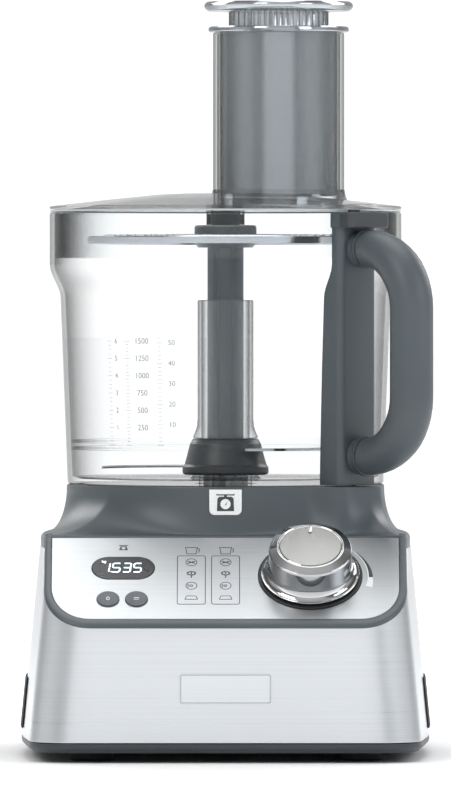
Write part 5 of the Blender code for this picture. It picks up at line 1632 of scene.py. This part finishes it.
class PROCESSOR_OT_stage(BuildPiece):
    """Floor, camera, lights and surroundings"""

    bl_idname = "processor.stage"
    bl_label = "Studio"

    def execute(self, context):
        stage = context.scene.processor_stage
        self.floor()
        data = bpy.data.cameras.new("camera")
        data.lens, data.sensor_width = stage.lens, 36
        data.clip_end = 100
        camera = linked("camera", data)
        aim(camera, (0, AXIS.y - stage.distance, stage.height), (0, AXIS.y, stage.target))
        context.scene.camera = camera
        self.lamp("key", (-1.5, -1.9, 1.9), 25.2, 1.3, (1.0, 0.99, 0.97))
        self.lamp("fill", (1.9, -1.2, 1.2), 16, 1.2, (0.92, 0.96, 1.0))
        self.lamp("top", (0.1, 0.2, 2.3), 22, 1.6, (1, 1, 1))
        self.lamp("rim_left", (-1.3, 1.5, 1.1), 12, 0.9, (1, 1, 1))
        self.lamp("rim_right", (1.4, 1.3, 1.1), 12, 0.9, (1, 1, 1))
        self.surroundings(context.scene)
        context.scene.view_settings.view_transform = "Standard"
        context.scene.view_settings.look = "None"
        return {"FINISHED"}

    def floor(self):
        bm = bmesh.new()
        bmesh.ops.create_grid(bm, x_segments=8, y_segments=8, size=60000)
        floor = mesh_piece("floor", bm)
        g = Graph("pale floor with painted shadow")
        grain = g.noise(g.place(), 3.0, 3.0)
        tone = g.blend(grain.smoothstep(0.3, 0.7), (0.86, 0.865, 0.87), (0.90, 0.90, 0.905))
        rough = 0.65 + (grain - 0.5) * 0.1
        # Painted shadow: the floor's glow fades out near the processor, which darkens the floor round it as
        # a painted contact shadow.
        x, y, _ = g.separate(g.place())
        away = ((x * x + y * y) ** 0.5).smoothstep(0.16, 0.7)
        glow = g.blend(away, (0.0, 0.0, 0.0), (0.62, 0.62, 0.62))
        shader = g.principled(Base_Color=tone, Roughness=rough, Emission_Color=glow, Emission_Strength=1.0)
        floor.data.materials.append(g.finish(shader))

    def lamp(self, name, spot, power, size, color):
        data = bpy.data.lights.new(name, "AREA")
        data.energy, data.size, data.color = power, size, color
        lamp = linked(name, data)
        aim(lamp, spot, (0, 0, 0.2))
        lamp.visible_camera = False

    def surroundings(self, scene):
        """White straight on, with soft grey bands round it that metal and clear walls pick up."""
        world = bpy.data.worlds.new("studio")
        world.use_nodes = True
        scene.world = world
        tree = world.node_tree
        tree.nodes.clear()

        def add(kind, **settings):
            made = tree.nodes.new(kind)
            for key, value in settings.items():
                setattr(made, key, value)
            return made

        where = add("ShaderNodeTexCoord")
        split = add("ShaderNodeSeparateXYZ")
        tree.links.new(where.outputs["Generated"], split.inputs[0])

        def levels(axis, stops, blue=1.0):
            """Greys along one axis of the view's direction, tinted between the two ends."""
            reach = add("ShaderNodeMapRange")
            reach.inputs[1].default_value, reach.inputs[2].default_value = -1, 1
            made = add("ShaderNodeValToRGB")
            elements = made.color_ramp.elements
            for spot, level in stops[1:-1]:
                elements.new(spot).color = (level, level, level * blue, 1)
            for end in (0, -1):
                elements[end].color = (stops[end][1],) * 3 + (1,)
            tree.links.new(split.outputs[axis], reach.inputs[0])
            tree.links.new(reach.outputs[0], made.inputs[0])
            return made.outputs[0]

        up = ((0.0, 0.55), (0.40, 0.62), (0.5, 0.80), (0.62, 0.92), (0.80, 0.55), (1.0, 0.95))
        across = ((0.0, 0.8), (0.10, 0.25), (0.20, 0.22), (0.30, 0.95), (0.5, 1.0), (0.70, 0.95))
        across += ((0.80, 0.2), (0.92, 0.3), (1.0, 0.8))
        both = add("ShaderNodeMix", data_type="RGBA", blend_type="MULTIPLY")
        both.inputs[0].default_value = 1.0
        tree.links.new(levels(2, up, 1.01), both.inputs[6])
        tree.links.new(levels(0, across), both.inputs[7])
        lit_by = add("ShaderNodeBackground")
        lit_by.inputs[1].default_value = 0.95
        tree.links.new(both.outputs[2], lit_by.inputs[0])
        seen = add("ShaderNodeBackground")
        seen.inputs[0].default_value = (1, 1, 1, 1)
        seen.inputs[1].default_value = 1.2
        mix = add("ShaderNodeMixShader")
        path = add("ShaderNodeLightPath")
        tree.links.new(path.outputs["Is Camera Ray"], mix.inputs[0])
        tree.links.new(lit_by.outputs[0], mix.inputs[1])
        tree.links.new(seen.outputs[0], mix.inputs[2])
        out = add("ShaderNodeOutputWorld")
        tree.links.new(mix.outputs[0], out.inputs[0])


class PROCESSOR_PT_panel(bpy.types.Panel):
    """Lists the pieces to build"""

    bl_label = "Food Processor"
    bl_idname = "PROCESSOR_PT_panel"
    bl_space_type = "VIEW_3D"
    bl_region_type = "UI"
    bl_category = "Food Processor"

    def draw(self, context):
        for group in ("processor_body", "processor_finish", "processor_stage"):
            settings = getattr(context.scene, group)
            for name in settings.bl_rna.properties.keys():
                if name not in ("rna_type", "name"):
                    self.layout.prop(settings, name)
        for operator in OPERATORS:
            self.layout.operator(operator.bl_idname)


OPERATORS = (
    PROCESSOR_OT_stage,
    PROCESSOR_OT_shell,
    PROCESSOR_OT_feet,
    PROCESSOR_OT_housing,
    PROCESSOR_OT_controls,
    PROCESSOR_OT_bowl,
    PROCESSOR_OT_knife,
    PROCESSOR_OT_lid,
    PROCESSOR_OT_pushers,
    PROCESSOR_OT_works,
)
SETTINGS = {
    "processor_body": BodySettings,
    "processor_finish": FinishSettings,
    "processor_stage": StageSettings,
}
CLASSES = (*SETTINGS.values(), *OPERATORS, PROCESSOR_PT_panel)


def register():
    for made in CLASSES:
        bpy.utils.register_class(made)
    for name, settings in SETTINGS.items():
        setattr(bpy.types.Scene, name, PointerProperty(type=settings))


def unregister():
    for name in SETTINGS:
        delattr(bpy.types.Scene, name)
    for made in reversed(CLASSES):
        bpy.utils.unregister_class(made)


def main():
    register()
    make_materials(bpy.context.scene.processor_finish)
    for operator in OPERATORS:
        getattr(bpy.ops.processor, operator.bl_idname.split(".")[1])()


if __name__ == "__main__":
    main()
